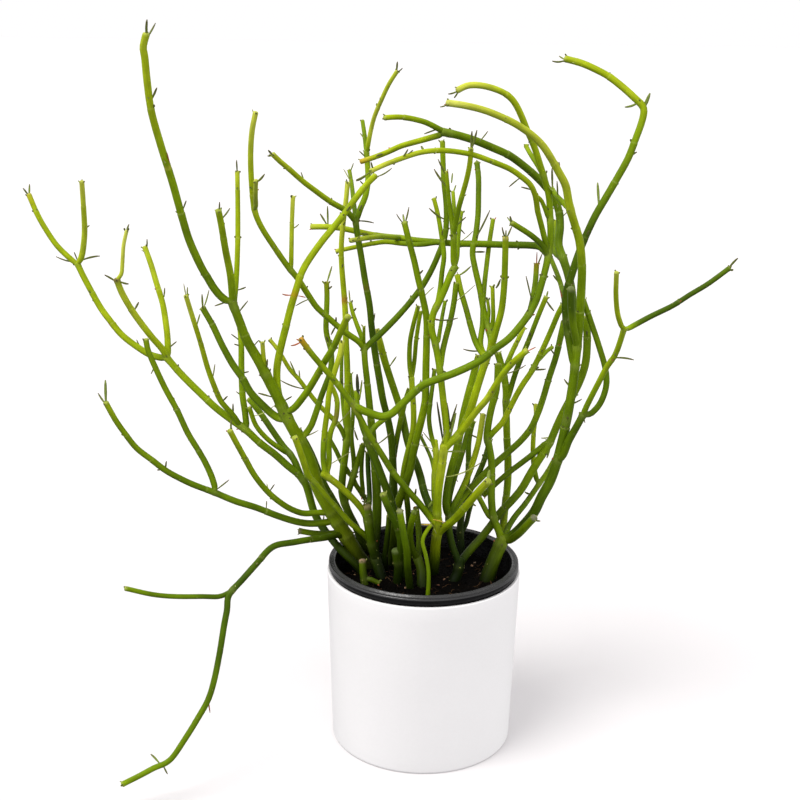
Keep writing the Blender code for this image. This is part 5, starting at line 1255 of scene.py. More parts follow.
def with_close_rings(full, joints):
    """Ring places along a branch: evenly spaced, and closer at its joints and tip."""
    places = list(np.linspace(0.0, full, max(3, int(full / RING_GAP) + 1)))
    for joint in joints:
        places.extend(joint + offset for offset in JOINT_RINGS)
    places.extend(full - back for back in TIP_RINGS_BACK)
    places = sorted(place for place in places if 0.0 <= place <= full)
    kept = [places[0]]
    for place in places[1:]:
        if place - kept[-1] > LEAST_RING_GAP:
            kept.append(place)
    kept[-1] = full
    return np.array(kept)


def along(values, arc, places):
    """Values known at the arc lengths, read at the given places."""
    if values.ndim == 1:
        return np.interp(places, arc, values)
    return np.stack([np.interp(places, arc, values[:, k]) for k in range(values.shape[1])], axis=1)


def with_tip(points, radii):
    """Adds the rings of a blunt rounded tip."""
    onward = direction(points[-3], points[-1])
    last = radii[-1]
    foot = points[-1]
    for k in range(1, TIP_RINGS + 1):
        turn = 0.5 * math.pi * k / (TIP_RINGS + TIP_OPENING)
        points = np.vstack([points, foot + onward * TIP_REACH * last * math.sin(turn)])
        radii = np.append(radii, last * math.cos(turn) ** TIP_BLUNTNESS)
    return points, radii


def over_pot(points):
    """1 for points over the pot's mouth, fading to 0 outside it."""
    return np.clip((OVER_POT_FAR - np.hypot(points[:, 0], points[:, 1])) / OVER_POT_FADE, 0, 1)


def inner_shade_mask(points, spokes):
    """The mask of painted shade on a tube: how far each corner faces the pot's axis, fading out with height
    and away from the pot.
    """
    from_axis = points[:, :2] / np.maximum(np.hypot(points[:, 0], points[:, 1]), 1.0)[:, None]
    inward = -(spokes[:, :, :2] * from_axis[:, None]).sum(axis=2)
    low = over_pot(points) * np.clip(1 - (points[:, 2] - SOIL_TOP) / INNER_HEIGHT, 0, 1)
    return (np.clip(INNER_LEVEL + (1 - INNER_LEVEL) * inward, 0, 1) * low[:, None]).reshape(-1)


Tube = namedtuple("Tube", "points radii arc tangents sides ups")


def freshness_at(stem, name, share):
    """How fresh the skin is along a branch, from values spread evenly from foot to tip."""
    own = BRANCH_FRESHNESS_AND_SHADE.get(stem, {})
    values = own[name] if name in own else STEM_FRESHNESS_AND_SHADE[stem]
    return np.interp(share, np.linspace(0, 1, len(values)), values)


def joints_and_forks(branch, route, widths, route_arc, collar_place, chance):
    """Where a branch's joints and forks lie along it."""
    full = route_arc[-1]
    own_arc = arc_lengths(branch["points"])
    shift = full - own_arc[-1]
    forks = sorted(own_arc[node] + shift for node in set(branch["nodes"]))
    joints = [place for place in joint_places(collar_place, full, chance)
              if all(abs(place - fork) > JOINT_CLEARANCE for fork in forks)
              and np.interp(place, route_arc, widths) < JOINT_RADIUS_LIMIT
              and np.interp(place, route_arc, route[:, 2]) > JOINT_LOWEST]
    return joints, forks


def ring_shape(arc, wobble, collar_place, joints, forks, carries, chance):
    """How far each ring of a branch swells, how pale it is and how much fresher it is past the joints."""
    shape = 1 + WOBBLE * wobble
    pale = np.zeros(len(arc))
    fresher = np.zeros(len(arc))
    if collar_place is not None:
        dip = np.exp(-((arc - collar_place) / COLLAR_WIDTH) ** 2)
        shape -= COLLAR_DEPTH * dip
        pale += COLLAR_PALE * dip
    for fork in forks:
        bump = np.exp(-((arc - fork) / SWELLING_WIDTH) ** 2)
        shape += SWELLING * bump
        pale += SWELLING_PALE * bump
    for joint in joints:
        below = np.where(arc <= joint, np.exp(-((arc - joint) / JOINT_SWELLING_WIDTH) ** 2), 0.0)
        above = np.where(arc > joint, np.exp(-(arc - joint) / JOINT_NECK_LENGTH), 0.0)
        strength = chance.uniform(*JOINT_STRENGTH)
        shape += strength * (JOINT_SWELLING * below - JOINT_NECK * above)
        pale += strength * JOINT_PALE * np.exp(-((arc - joint + JOINT_LINE_BACK) / JOINT_LINE_WIDTH) ** 2)
        fresher += np.where(arc > joint, chance.uniform(*JOINT_FRESHER), 0.0)
    if not carries:
        shape += TIP_SWELLING * np.exp(-((arc - arc[-1] + TIP_SWELLING_BACK) / TIP_SWELLING_WIDTH) ** 2)
    return shape, pale, fresher


def ring_freshness(stem, name, branch, trunk, points, arc, full, wobble, fresher, carries):
    """How fresh the skin is at each ring of a branch."""
    freshness = freshness_at(stem, name, np.clip(arc / full, 0, 1))
    if trunk is not None:
        foot_share = branch["foot"] / max(len(trunk["points"]) - 1, 1)
        root_fresh = freshness_at(stem, branch["parent"], foot_share)
        freshness = freshness + (root_fresh - freshness) * np.exp(-(arc / ROOT_BLEND) ** 2)
    if not carries:
        freshness = freshness + TIP_FRESHER * np.exp(-((full - arc) / TIP_FRESHER_LENGTH) ** 2)
    freshness = freshness + WOBBLE_FRESHER * wobble + np.clip(fresher, *FRESHER_LIMITS)
    # Low down the skin is older and darker, and also darkened as painted shade
    height = np.clip((points[:, 2] - LOW_HEIGHT) / LOW_FADE, 0, 1)
    return freshness - LOW_OLDER_AND_SHADED * (1 - height)


def ring_colours(stem, name, points, arc, full, freshness, pale, carries):
    """The skin's colour at each ring of a branch."""
    colours = skin_colour(freshness)
    colours = mixed(colours, PALE_RING, PALE_SHARE * pale)
    if not carries:
        from_tip = np.clip(full + TIP_SKIN_PAST - arc, 0, None)
        colours = mixed(colours, TIP_SKIN, TIP_SKIN_SHARE * np.exp(-(from_tip / TIP_SKIN_REACH) ** 2))
    # Painted shade: the feet darken towards the soil over the pot's mouth
    foot_shade = over_pot(points) * np.clip(1 - (points[:, 2] - SOIL_TOP) / FOOT_SHADE_HEIGHT, 0, 1)
    colours = mixed(colours, FOOT_SHADE_COLOUR, FOOT_SHADE_SHARES.get(stem, FOOT_SHADE_SHARE) * foot_shade)
    redness = RED_TIPS.get((stem, name), 0.0)
    if redness:
        colours = mixed(colours, RED_SKIN, redness * np.clip(1 - (full - arc) / RED_REACH, 0, 1))
    crown = CROWNS.get((stem, name))
    if crown is not None:
        dryness = np.clip(1 - (full + CROWN_PAST - arc) / CROWN_REACH, 0, 1)
        colours = mixed(colours, np.array(crown), CROWN_SHARE * dryness)
    for mark_stem, mark_branch, across, down, reach, shade, strength in MARKS:
        if (mark_stem, mark_branch) == (stem, name):
            seen = np.array([drawn_at(point) for point in points])
            apart = np.hypot(seen[:, 0] - across, seen[:, 1] - down)
            colours = mixed(colours, np.array(shade), strength * np.exp(-(apart / reach) ** 2))
    return colours


def add_tube(form, tube, colours, girth, chance):
    """The skin of a branch, with painted shade on its underside and where it faces the pot's axis."""
    rings = len(tube.points)
    angles = 2 * np.pi * np.arange(STEM_SIDES) / STEM_SIDES
    spokes = (np.cos(angles)[None, :, None] * tube.sides[:, None]
              + np.sin(angles)[None, :, None] * tube.ups[:, None])
    corners = tube.points[:, None] + spokes * tube.radii[:, None, None]
    underside = np.clip(-spokes[:, :, 2], 0, 1).reshape(-1)
    colours = np.repeat(colours, STEM_SIDES, axis=0)
    # Painted shade on the underside, and on the sides that face the pot's axis
    colours *= 1 - UNDERSIDE_PAINTED_SHADE * underside[:, None]
    colours *= 1 - INNER_PAINTED_SHADE * inner_shade_mask(tube.points, spokes)[:, None]
    grain = np.empty((rings, STEM_SIDES, 3))
    offset = chance.uniform(*GRAIN_OFFSETS)
    grain[:, :, 0] = np.cos(angles)[None, :] * girth + offset
    grain[:, :, 1] = np.sin(angles)[None, :] * girth
    grain[:, :, 2] = tube.arc[:, None]
    form.add(corners.reshape(-1, 3), colours, grain.reshape(-1, 3), ring_faces(rings, STEM_SIDES), 0)


def add_branch(form, stem, name, branch, branches, chance):
    """Adds one branch with its skin, leaf scales and scars, and returns the places of its joints."""
    trunk = branches[branch["parent"]] if branch["parent"] else None
    route, widths, collar_place = branch_route(branch, trunk)
    route_arc = arc_lengths(route)
    full = route_arc[-1]
    carries = any(node >= len(branch["points"]) - 3 for node in branch["nodes"])
    joints, forks = joints_and_forks(branch, route, widths, route_arc, collar_place, chance)
    arc = with_close_rings(full, joints + forks)
    points = along(route, route_arc, arc)
    radii = along(widths, route_arc, arc)
    phase = chance.uniform(*PHASES)
    wobble = np.array([noise.noise((a * WOBBLE_PER_MM + phase, *WOBBLE_ROW)) for a in arc])
    collar = collar_place if trunk is not None else None
    shape, pale, fresher = ring_shape(arc, wobble, collar, joints, forks, carries, chance)
    points, radii = with_tip(points, radii * shape)
    beyond = (0, len(points) - len(arc))
    wobble, pale, fresher = (np.pad(values, beyond, mode="edge") for values in (wobble, pale, fresher))
    arc = arc_lengths(points)
    freshness = ring_freshness(stem, name, branch, trunk, points, arc, full, wobble, fresher, carries)
    colours = ring_colours(stem, name, points, arc, full, freshness, pale, carries)
    tube = Tube(points, radii, arc, *sweep_frames(points))
    add_tube(form, tube, colours, widths[0], chance)
    for joint in joints + forks:
        turn = chance.uniform(0, 2 * math.pi)
        for _ in range(chance.choice(SCALES_AT_JOINT)):
            add_scale(form, tube, joint, turn, chance)
            turn += chance.uniform(*SCALE_TURNS)
    place = collar_place + chance.uniform(*SCAR_START)
    turn = chance.uniform(0, 2 * math.pi)
    while place < full - SCAR_STOP:
        add_scar(form, tube, place, turn, chance)
        place += chance.uniform(*SCAR_GAPS)
        turn += math.pi + chance.uniform(*SCAR_TURNS)
    for n in range(0 if carries else chance.choice(SCALES_AT_TIP)):
        add_scale(form, tube, full - TIP_SCALE_BACK, phase + TIP_SCALE_TURN * n, chance)
    return joints


def skin_place(tube, place, turn):
    """The centre line, outward, onward and sideways directions and radius at a place on a branch."""
    k = int(min(max(np.searchsorted(tube.arc, place), 1), len(tube.arc) - 1))
    share = (place - tube.arc[k - 1]) / max(tube.arc[k] - tube.arc[k - 1], 1e-6)
    centre = tube.points[k - 1] * (1 - share) + tube.points[k] * share
    outward = math.cos(turn) * tube.sides[k] + math.sin(turn) * tube.ups[k]
    return centre, outward, tube.tangents[k], np.cross(outward, tube.tangents[k]), tube.radii[k]


def add_scale(form, tube, place, turn, chance):
    """A short blunt leaf scale that stands out at a joint."""
    centre, outward, onward, _, radius = skin_place(tube, place, turn)
    length = chance.uniform(*SCALE_LENGTHS)
    foot = centre + outward * (SCALE_FOOT * radius)
    tip = centre + outward * (radius + SCALE_LEAN * length) + onward * length
    kind = chance.choices(SCALE_KINDS, SCALE_KIND_SHARES)[0]
    add_leaf(form, foot, tip, kind, chance)


def add_scar(form, tube, place, turn, chance):
    """A small flat bump where a leaf has dropped."""
    centre, outward, onward, across, radius = skin_place(tube, place, turn)
    wide = chance.uniform(*SCAR_WIDTHS)
    corners = []
    for level, scale in SCAR_RINGS:
        for n in range(SCAR_SIDES):
            angle = n * math.pi / 3
            corners.append(centre + outward * (radius * SCAR_LEVEL + level * wide)
                           + across * math.cos(angle) * wide * scale
                           + onward * math.sin(angle) * wide * SCAR_LENGTH * scale)
    colours = np.repeat((SCAR_SKIN * chance.uniform(*SCAR_COLOUR_SPREAD))[None], len(corners), axis=0)
    grain = np.zeros((len(corners), 3))
    grain[:, 0] = chance.uniform(0, 90)
    faces = ring_faces(len(SCAR_RINGS), SCAR_SIDES)
    # The scar's foot, inside the stem, stays open
    del faces[-2]
    form.add(np.array(corners), colours, grain, faces, 1)


def add_leaf(form, foot, tip, kind, chance):
    """A slim bowed leaf from its foot in the stem to its pointed tip."""
    looks = LEAF_KINDS[kind]
    length = np.linalg.norm(tip - foot)
    bow = np.array([0.0, 0.0, 1.0]) * length * chance.uniform(*LEAF_BOW_UP)
    bow = bow + np.array([0.0, 1.0, 0.0]) * length * chance.uniform(*LEAF_BOW_BACK)
    stations = np.linspace(0, 1, LEAF_STATIONS)
    points = foot[None] * (1 - stations)[:, None] + tip[None] * stations[:, None]
    points = points + bow[None] * (4 * stations * (1 - stations))[:, None]
    tangents, sides, ups = sweep_frames(points)
    tilt = chance.uniform(0, math.pi)
    wide_way = sides * math.cos(tilt) + ups * math.sin(tilt)
    thick_way = np.cross(tangents, wide_way)
    width = looks["width"] * np.interp(stations, LEAF_WIDTH_PLACES, LEAF_WIDTHS)
    thickness = looks["thickness"] * (width / looks["width"]) ** LEAF_THINNING
    angles = 2 * np.pi * np.arange(LEAF_SIDES) / LEAF_SIDES
    corners = (points[:, None] + np.cos(angles)[None, :, None] * (wide_way * width[:, None])[:, None]
               + np.sin(angles)[None, :, None] * (thick_way * thickness[:, None])[:, None])
    colour = np.array(looks["colour"]) * chance.uniform(*LEAF_COLOUR_SPREAD)
    colours = np.repeat(colour[None], LEAF_STATIONS * LEAF_SIDES, axis=0)
    browned = np.clip((stations - LEAF_BROWN_FROM) * LEAF_BROWN_RISE, 0, LEAF_BROWN_MOST)
    browned = np.repeat(browned, LEAF_SIDES) * (FAT_BROWN_SHARE if kind == "fat" else 1.0)
    colours = mixed(colours, LEAF_BROWN, browned)
    corners = corners.reshape(-1, 3)
    form.add(corners, colours, corners * 0.5, ring_faces(LEAF_STATIONS, LEAF_SIDES), 1)


def build_stem(stem, materials, number):
    """Builds one rooted stem with its branches, scales, scars and leaves."""
    chance = random.Random(STEM_SEED + number)
    branches = grow_stem(stem)
    form = Form()
    hidden = []
    for name, branch in branches.items():
        joints = add_branch(form, stem, name, branch, branches, chance)
        points = branch["points"]
        arc = arc_lengths(points)
        for place in joints:
            if chance.random() < HIDDEN_SHARE:
                k = int(np.clip(np.searchsorted(arc, place), 1, len(arc) - 1))
                hidden.append((points[k], direction(points[k - 1], points[k])))
    drawn = np.vstack([branch["drawn"] for branch in branches.values()])
    depths = np.concatenate([branch["depth"] for branch in branches.values()])
    for count, (foot_x, foot_y, tip_x, tip_y, *kind) in enumerate(LEAVES.get(stem, [])):
        nearest = int(np.argmin(np.hypot(drawn[:, 0] - foot_x, drawn[:, 1] - foot_y)))
        lean = LEAF_LEANS[count % len(LEAF_LEANS)]
        ends = np.array([(foot_x, foot_y), (tip_x, tip_y)])
        foot, tip = placed(ends, np.array([depths[nearest], depths[nearest] + lean]))
        add_leaf(form, foot, tip, kind[0] if kind else "dry", chance)
    for foot, onward in hidden:
        across = chance.uniform(*HIDDEN_ACROSS)
        away = np.array([across, chance.choice((-1.0, 1.0)), chance.uniform(*HIDDEN_UP)])
        away = direction(np.zeros(3), away - (away @ onward) * onward)
        tip = foot + (away * HIDDEN_OUT + onward * HIDDEN_ON) * chance.uniform(*HIDDEN_LENGTHS)
        add_leaf(form, foot, tip, chance.choice(HIDDEN_KINDS), chance)
    node = form.finish(stem + "_grown", materials)
    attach(node, "root")
    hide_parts(stem)


def ring_points(radius, height, steps):
    """Points evenly round the upright axis."""
    angles = [2 * math.pi * k / steps for k in range(steps)]
    return [(radius * math.cos(angle), radius * math.sin(angle), height) for angle in angles]


def upward_faces(first, rings, steps):
    """Quads between rings of points round the upright axis, from the first point on."""
    faces = []
    for ring in range(rings - 1):
        a = first + ring * steps
        b = a + steps
        for k in range(steps):
            after = (k + 1) % steps
            faces.append((a + k, b + k, b + after, a + after))
    return faces


def turned(name, profile, materials, colour):
    """A pot wall turned about the upright axis from a profile of radii and heights."""
    corners = [corner for radius, height in profile for corner in ring_points(radius, height, POT_STEPS)]
    faces = upward_faces(0, len(profile), POT_STEPS)
    faces.append(tuple(range(POT_STEPS)))
    last = (len(profile) - 1) * POT_STEPS
    faces.append(tuple(last + k for k in range(POT_STEPS - 1, -1, -1)))
    form = Form()
    form.add_plain(corners, colour, faces)
    return form.finish(name, materials, smooth_angle=POT_SMOOTH_ANGLE)


def arc_profile(centre, radius, first, last, count):
    """Points of a rounded edge from the first to the last angle in degrees."""
    points = []
    for k in range(count + 1):
        angle = math.radians(first + (last - first) * k / count)
        points.append((centre[0] + radius * math.cos(angle), centre[1] + radius * math.sin(angle)))
    return points


def build_cover_pot(material):
    """The white cover pot: a plain cup with a rounded lip and a bevelled foot."""
    lip = COVER_LIP_RADIUS
    corner = COVER_INNER_CORNER
    bevel = COVER_FOOT_BEVEL
    inner_top = COVER_TOP_RADIUS - COVER_WALL
    inner_foot = COVER_FOOT_RADIUS - COVER_WALL
    profile = [(1.0, COVER_FLOOR), (inner_foot - 4.0, COVER_FLOOR)]
    profile += arc_profile((inner_foot - corner, COVER_FLOOR + corner), corner, -90, 0, 5)
    for share in COVER_INNER_SHARES:
        height = COVER_FLOOR + 4.0 + (COVER_HEIGHT - 12.0) * share
        profile.append((inner_foot + (inner_top - inner_foot) * share, height))
    profile += arc_profile((inner_top + lip, COVER_HEIGHT - lip), lip, 180, 90, 6)
    profile += arc_profile((COVER_TOP_RADIUS - lip, COVER_HEIGHT - lip), lip, 90, 0, 6)
    rise = COVER_HEIGHT - lip - bevel
    run = COVER_TOP_RADIUS - COVER_FOOT_RADIUS
    for share in COVER_OUTER_SHARES:
        profile.append((COVER_FOOT_RADIUS + run * share, bevel + rise * share))
    profile += arc_profile((COVER_FOOT_RADIUS - bevel, bevel), bevel, 0, -90, 7)
    profile += [(COVER_FOOT_RADIUS - 8.0, 0.0), (COVER_FOOT_RADIUS - 9.0, 0.5), (1.0, 0.5)]
    node = turned("cover_pot_glazed", profile, [material], GLAZE_COLOUR)
    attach(node, "root")
    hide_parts("cover_pot")


def grower_inner_radius(height):
    """The grower pot's inner radius at a height under its rim."""
    foot = COVER_FLOOR + FIT_GAP
    neck = GROWER_RIM_TOP - GROWER_RIM_DEPTH
    share = (height - foot) / (neck - foot)
    outer = GROWER_BASE_RADIUS + (GROWER_NECK_RADIUS - GROWER_BASE_RADIUS) * share
    return outer - GROWER_WALL


def grower_profile(foot, top, under):
    """The grower pot's wall from the middle of its floor up the inside, over the rim and down the outside."""
    mouth = GROWER_MOUTH_RADIUS
    rim = GROWER_RIM_RADIUS
    wall_foot = foot + GROWER_WALL
    profile = [(1.0, wall_foot), (grower_inner_radius(wall_foot) - 2.0, wall_foot)]
    for share in GROWER_INNER_SHARES:
        height = wall_foot + (under - 2.0 - wall_foot) * share
        profile.append((grower_inner_radius(height), height))
    profile.append((grower_inner_radius(under - 2.0), under - 2.0))
    profile += [(mouth, under + 0.6), (mouth + 0.1, under + 4.0), (mouth + 0.35, top - 1.9)]
    profile += arc_profile((mouth + 1.8, top - 1.4), 1.4, 170, 95, 5)
    span = rim - 1.9 - (mouth + 2.0)
    for ridge in range(RIM_RIDGES):
        for share, drop in RIDGE_STEPS:
            profile.append((mouth + 2.0 + span * (ridge + share) / RIM_RIDGES, top - 0.25 - drop))
    profile += arc_profile((rim - 0.95, top - 0.6), 0.6, 150, 0, 7)
    profile += [(rim + out, top + up) for out, up in RIM_EDGE]
    profile += [(rim - 2.0, under + 0.6), (rim - 2.4, under), (GROWER_NECK_RADIUS + 1.0, under),
                (GROWER_NECK_RADIUS + 0.1, under - 0.9)]
    run = GROWER_NECK_RADIUS - GROWER_BASE_RADIUS
    for share in GROWER_OUTER_SHARES:
        profile.append((GROWER_BASE_RADIUS + run * share, foot + 1.0 + (under - 2.0 - foot) * share))
    return profile + [(GROWER_BASE_RADIUS, foot + 1.0), (GROWER_BASE_RADIUS - 1.0, foot), (1.0, foot)]


def build_grower_pot(glossy, shaded_side):
    """The black grower pot: glossy on top of its rim, and down its outer side a low-gloss copy of the plastic
    as painted shade.
    """
    foot = COVER_FLOOR + FIT_GAP
    top = GROWER_RIM_TOP
    profile = grower_profile(foot, top, top - GROWER_RIM_DEPTH)
    node = turned("grower_pot_moulded", profile, [glossy, shaded_side], PLASTIC_COLOUR)
    # Painted shade: outward faces below the glossy top take the low-gloss copy
    for polygon in node.data.polygons:
        facing = polygon.center.x * polygon.normal.x + polygon.center.y * polygon.normal.y
        if facing > 0 and polygon.normal.z < 0.5 and polygon.center.z < (top - RIM_GLOSS_DEPTH) * MM:
            polygon.material_index = 1
    places = ring_points(DRAIN_CIRCLE_RADIUS, foot + 1.0, DRAIN_HOLES)
    punch_holes(node, [Vector(place) * MM for place in places])
    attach(node, "root")
    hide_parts("grower_pot")


def punch_holes(node, places):
    """Cuts round drainage holes through the grower pot's floor."""
    radius = DRAIN_HOLE_RADIUS * MM
    shape = bmesh.new()
    for place in places:
        bmesh.ops.create_cone(shape, cap_ends=True, segments=DRAIN_HOLE_SIDES, radius1=radius, radius2=radius,
                              depth=DRAIN_CUT_DEPTH * MM, matrix=Matrix.Translation(place))
    mesh = bpy.data.meshes.new("drain_cutter")
    shape.to_mesh(mesh)
    shape.free()
    cutter = bpy.data.objects.new("drain_cutter", mesh)
    bpy.context.scene.collection.objects.link(cutter)
    cut = node.modifiers.new("drain_holes", "BOOLEAN")
    cut.object = cutter
    cut.operation = "DIFFERENCE"
    cut.solver = "EXACT"
    bpy.context.view_layer.update()
    done = bpy.data.meshes.new_from_object(node.evaluated_get(bpy.context.evaluated_depsgraph_get()))
    node.modifiers.clear()
    node.data = done
    bpy.data.objects.remove(cutter)


def soil_height(x, y):
    """Height in mm of the loose soil at a place."""
    height = SOIL_TOP - SOIL_DROP
    for turns, row, rise in SOIL_RELIEF:
        height += rise * noise.noise((x * turns, y * turns, row))
    edge = max(0.0, (math.hypot(x, y) - SOIL_EDGE_RADIUS) / SOIL_EDGE_WIDTH)
    mound = 0.0
    for stem, (foot_x, foot_y) in FEET.items():
        away = math.hypot(x - foot_x, y - foot_y) - FOOT_RADII[stem]
        mound = max(mound, MOUND_HEIGHT * math.exp(-(max(0.0, away) / MOUND_WIDTH) ** 2))
    return height - SOIL_EDGE_DROP * edge + mound


def build_soil(material):
    """The potting mix: a loose uneven top, and a plain body down to the grower pot's floor."""
    rim = grower_inner_radius(SOIL_TOP - 3.0) - FIT_GAP
    bottom = COVER_FLOOR + 2 * FIT_GAP + GROWER_WALL
    corners = [(0.0, 0.0, soil_height(0.0, 0.0))]
    for ring in range(1, SOIL_RINGS + 1):
        for x, y, _ in ring_points(rim * ring / SOIL_RINGS, 0.0, SOIL_STEPS):
            corners.append((x, y, soil_height(x, y)))
    corners += ring_points(rim - 0.1, SOIL_TOP - 6.0, SOIL_STEPS)
    corners += ring_points(grower_inner_radius(bottom) - FIT_GAP, bottom, SOIL_STEPS)
    faces = [(0, 1 + k, 1 + (k + 1) % SOIL_STEPS) for k in range(SOIL_STEPS)]
    faces += upward_faces(1, SOIL_RINGS + 2, SOIL_STEPS)
    last = 1 + (SOIL_RINGS + 1) * SOIL_STEPS
    faces.append(tuple(last + k for k in range(SOIL_STEPS - 1, -1, -1)))
    form = Form()
    form.add_plain(corners, SOIL_AND_SHADE_COLOUR, faces)
    node = form.finish("potting_mix_surface", [material])
    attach(node, "root")
    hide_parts("soil")


def add_crumb(form, centre, size, flatness, colour, chance):
    """One broken crumb or bark chip: the hull of a few scattered points, turned at random."""
    shape = bmesh.new()
    for _ in range(CRUMB_POINTS):
        away = Vector((chance.gauss(0, 1), chance.gauss(0, 1), chance.gauss(0, 1))).normalized()
        away *= chance.uniform(*CRUMB_REACH)
        narrow = chance.uniform(*CRUMB_NARROWNESS)
        shape.verts.new((away.x * size, away.y * size * narrow, away.z * size * flatness))
    bmesh.ops.convex_hull(shape, input=shape.verts)
    loose = [corner for corner in shape.verts if not corner.link_faces]
    bmesh.ops.delete(shape, geom=loose, context="VERTS")
    heading = Matrix.Rotation(chance.uniform(0, NEAR_FULL_TURN), 3, "Z")
    turn = heading @ Matrix.Rotation(chance.uniform(*CRUMB_TILT), 3, "X")
    shape.verts.index_update()
    corners = [centre + turn @ corner.co for corner in shape.verts]
    faces = [tuple(corner.index for corner in face.verts) for face in shape.faces]
    shape.free()
    form.add_plain(corners, colour, faces)


def add_fibre(form, centre, length, colour, chance):
    """A thin bent root fibre or splinter lying on the soil."""
    heading = chance.uniform(0, NEAR_FULL_TURN)
    bend = chance.uniform(*FIBRE_BENDS)
    points = []
    for k in range(len(FIBRE_TAPER)):
        share = k / (len(FIBRE_TAPER) - 1) - 0.5
        angle = heading + bend * share
        x = centre.x + math.cos(angle) * length * share
        y = centre.y + math.sin(angle) * length * share
        rise = FIBRE_LIFT + FIBRE_LIFT * math.sin(FIBRE_WAVES * share + heading)
        points.append((x, y, soil_height(x, y) + rise))
    points = np.array(points)
    _, sides, ups = sweep_frames(points)
    radii = (chance.uniform(*FIBRE_RADII) * FIBRE_TAPER)[:, None, None]
    angles = 2 * np.pi * np.arange(FIBRE_SIDES) / FIBRE_SIDES
    corners = (points[:, None] + np.cos(angles)[None, :, None] * sides[:, None] * radii
               + np.sin(angles)[None, :, None] * ups[:, None] * radii)
    form.add_plain(corners.reshape(-1, 3), colour, ring_faces(len(points), FIBRE_SIDES))


def build_litter(material):
    """Bark chips, crumbs, pale grains and fibres strewn over the soil."""
    chance = random.Random(LITTER_SEED)
    form = Form()
    shades, weights = zip(*CHIP_COLOURS)
    for _ in range(CHIPS):
        radius = CHIP_FIELD_RADIUS * math.sqrt(chance.random())
        angle = chance.uniform(0, NEAR_FULL_TURN)
        x = radius * math.cos(angle)
        y = radius * math.sin(angle)
        size = min(CHIP_LARGEST, chance.lognormvariate(*CHIP_SPREAD))
        size = min(size, max(CHIP_SMALLEST_AT_WALL, CHIP_WALL_RADIUS - radius))
        colour = chance.choices(shades, weights)[0]
        shade = chance.uniform(*CHIP_SHADES)
        centre = Vector((x, y, soil_height(x, y) + CHIP_LIFT * size))
        add_crumb(form, centre, size, chance.uniform(*CHIP_FLATNESS), [c * shade for c in colour], chance)
    for across, down, size, colour in SEEN_CHIPS:
        x, y, _ = on_level(across, down, SOIL_TOP + 1.0)
        centre = Vector((x, y, soil_height(x, y) + 0.5))
        add_crumb(form, centre, size, SEEN_CHIP_FLATNESS, colour, chance)
    for _ in range(FIBRES):
        radius = FIBRE_FIELD_RADIUS * math.sqrt(chance.random())
        angle = chance.uniform(0, NEAR_FULL_TURN)
        centre = Vector((radius * math.cos(angle), radius * math.sin(angle), 0.0))
        colour = chance.choice(FIBRE_COLOURS)
        add_fibre(form, centre, chance.uniform(*FIBRE_LENGTHS), colour, chance)
    node = form.finish("bark_chips_and_fibres", [material], smooth_angle=LITTER_SMOOTH_ANGLE)
    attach(node, "root")


def node_tree(name):
    """A new material with its node tree and shader."""
    material = bpy.data.materials.new(name)
    material.use_nodes = True
    tree = material.node_tree
    shader = tree.nodes["Principled BSDF"]
    return material, tree, shader


def attribute_socket(tree, name, output):
    """A value stored at the corners of a piece."""
    node = tree.nodes.new("ShaderNodeAttribute")
    node.attribute_name = name
    return node.outputs[output]


def stretched(tree, source, scale):
    """Grain places drawn out or in along each direction."""
    node = tree.nodes.new("ShaderNodeMapping")
    node.inputs["Scale"].default_value = scale
    tree.links.new(source, node.inputs["Vector"])
    return node.outputs["Vector"]


def spread_value(tree, source, from_low, from_high, low, high):
    """A value carried from one range to another."""
    node = tree.nodes.new("ShaderNodeMapRange")
    node.inputs["From Min"].default_value = from_low
    node.inputs["From Max"].default_value = from_high
    node.inputs["To Min"].default_value = low
    node.inputs["To Max"].default_value = high
    tree.links.new(source, node.inputs["Value"])
    return node.outputs["Result"]


def noise_between(tree, source, scale, detail, low, high, from_low=0.3, from_high=0.7):
    """Noise of a scale and detail, spread between a low and a high level."""
    cloud = tree.nodes.new("ShaderNodeTexNoise")
    cloud.inputs["Scale"].default_value = scale
    cloud.inputs["Detail"].default_value = detail
    tree.links.new(source, cloud.inputs["Vector"])
    return spread_value(tree, cloud.outputs["Fac"], from_low, from_high, low, high)


def times(tree, first, second):
    """Two values multiplied."""
    node = tree.nodes.new("ShaderNodeMath")
    node.operation = "MULTIPLY"
    tree.links.new(first, node.inputs[0])
    tree.links.new(second, node.inputs[1])
    return node.outputs["Value"]


def scaled_colour(tree, colour, factor):
    """A colour made brighter or darker by a factor."""
    node = tree.nodes.new("ShaderNodeVectorMath")
    node.operation = "SCALE"
    tree.links.new(colour, node.inputs[0])
    tree.links.new(factor, node.inputs["Scale"])
    return node.outputs["Vector"]


def blended(tree, share, first, second):
    """Mix of two colours; each is a socket or a plain colour."""
    node = tree.nodes.new("ShaderNodeMix")
    node.data_type = "RGBA"
    tree.links.new(share, node.inputs["Factor"])
    for socket, value in ((node.inputs[6], first), (node.inputs[7], second)):
        if isinstance(value, tuple):
            socket.default_value = (*value, 1.0)
        else:
            tree.links.new(value, socket)
    return node.outputs[2]


def bumped(tree, shader, height, strength, distance):
    """Gives the shader fine relief."""
    node = tree.nodes.new("ShaderNodeBump")
    node.inputs["Strength"].default_value = strength
    node.inputs["Distance"].default_value = distance
    tree.links.new(height, node.inputs["Height"])
    tree.links.new(node.outputs["Normal"], shader.inputs["Normal"])


def dots(tree, source, scale, size):
    """A mask of scattered small round dots."""
    cells = tree.nodes.new("ShaderNodeTexVoronoi")
    cells.inputs["Scale"].default_value = scale
    tree.links.new(source, cells.inputs["Vector"])
    return spread_value(tree, cells.outputs["Distance"], size, 0.6 * size, 0.0, 1.0)


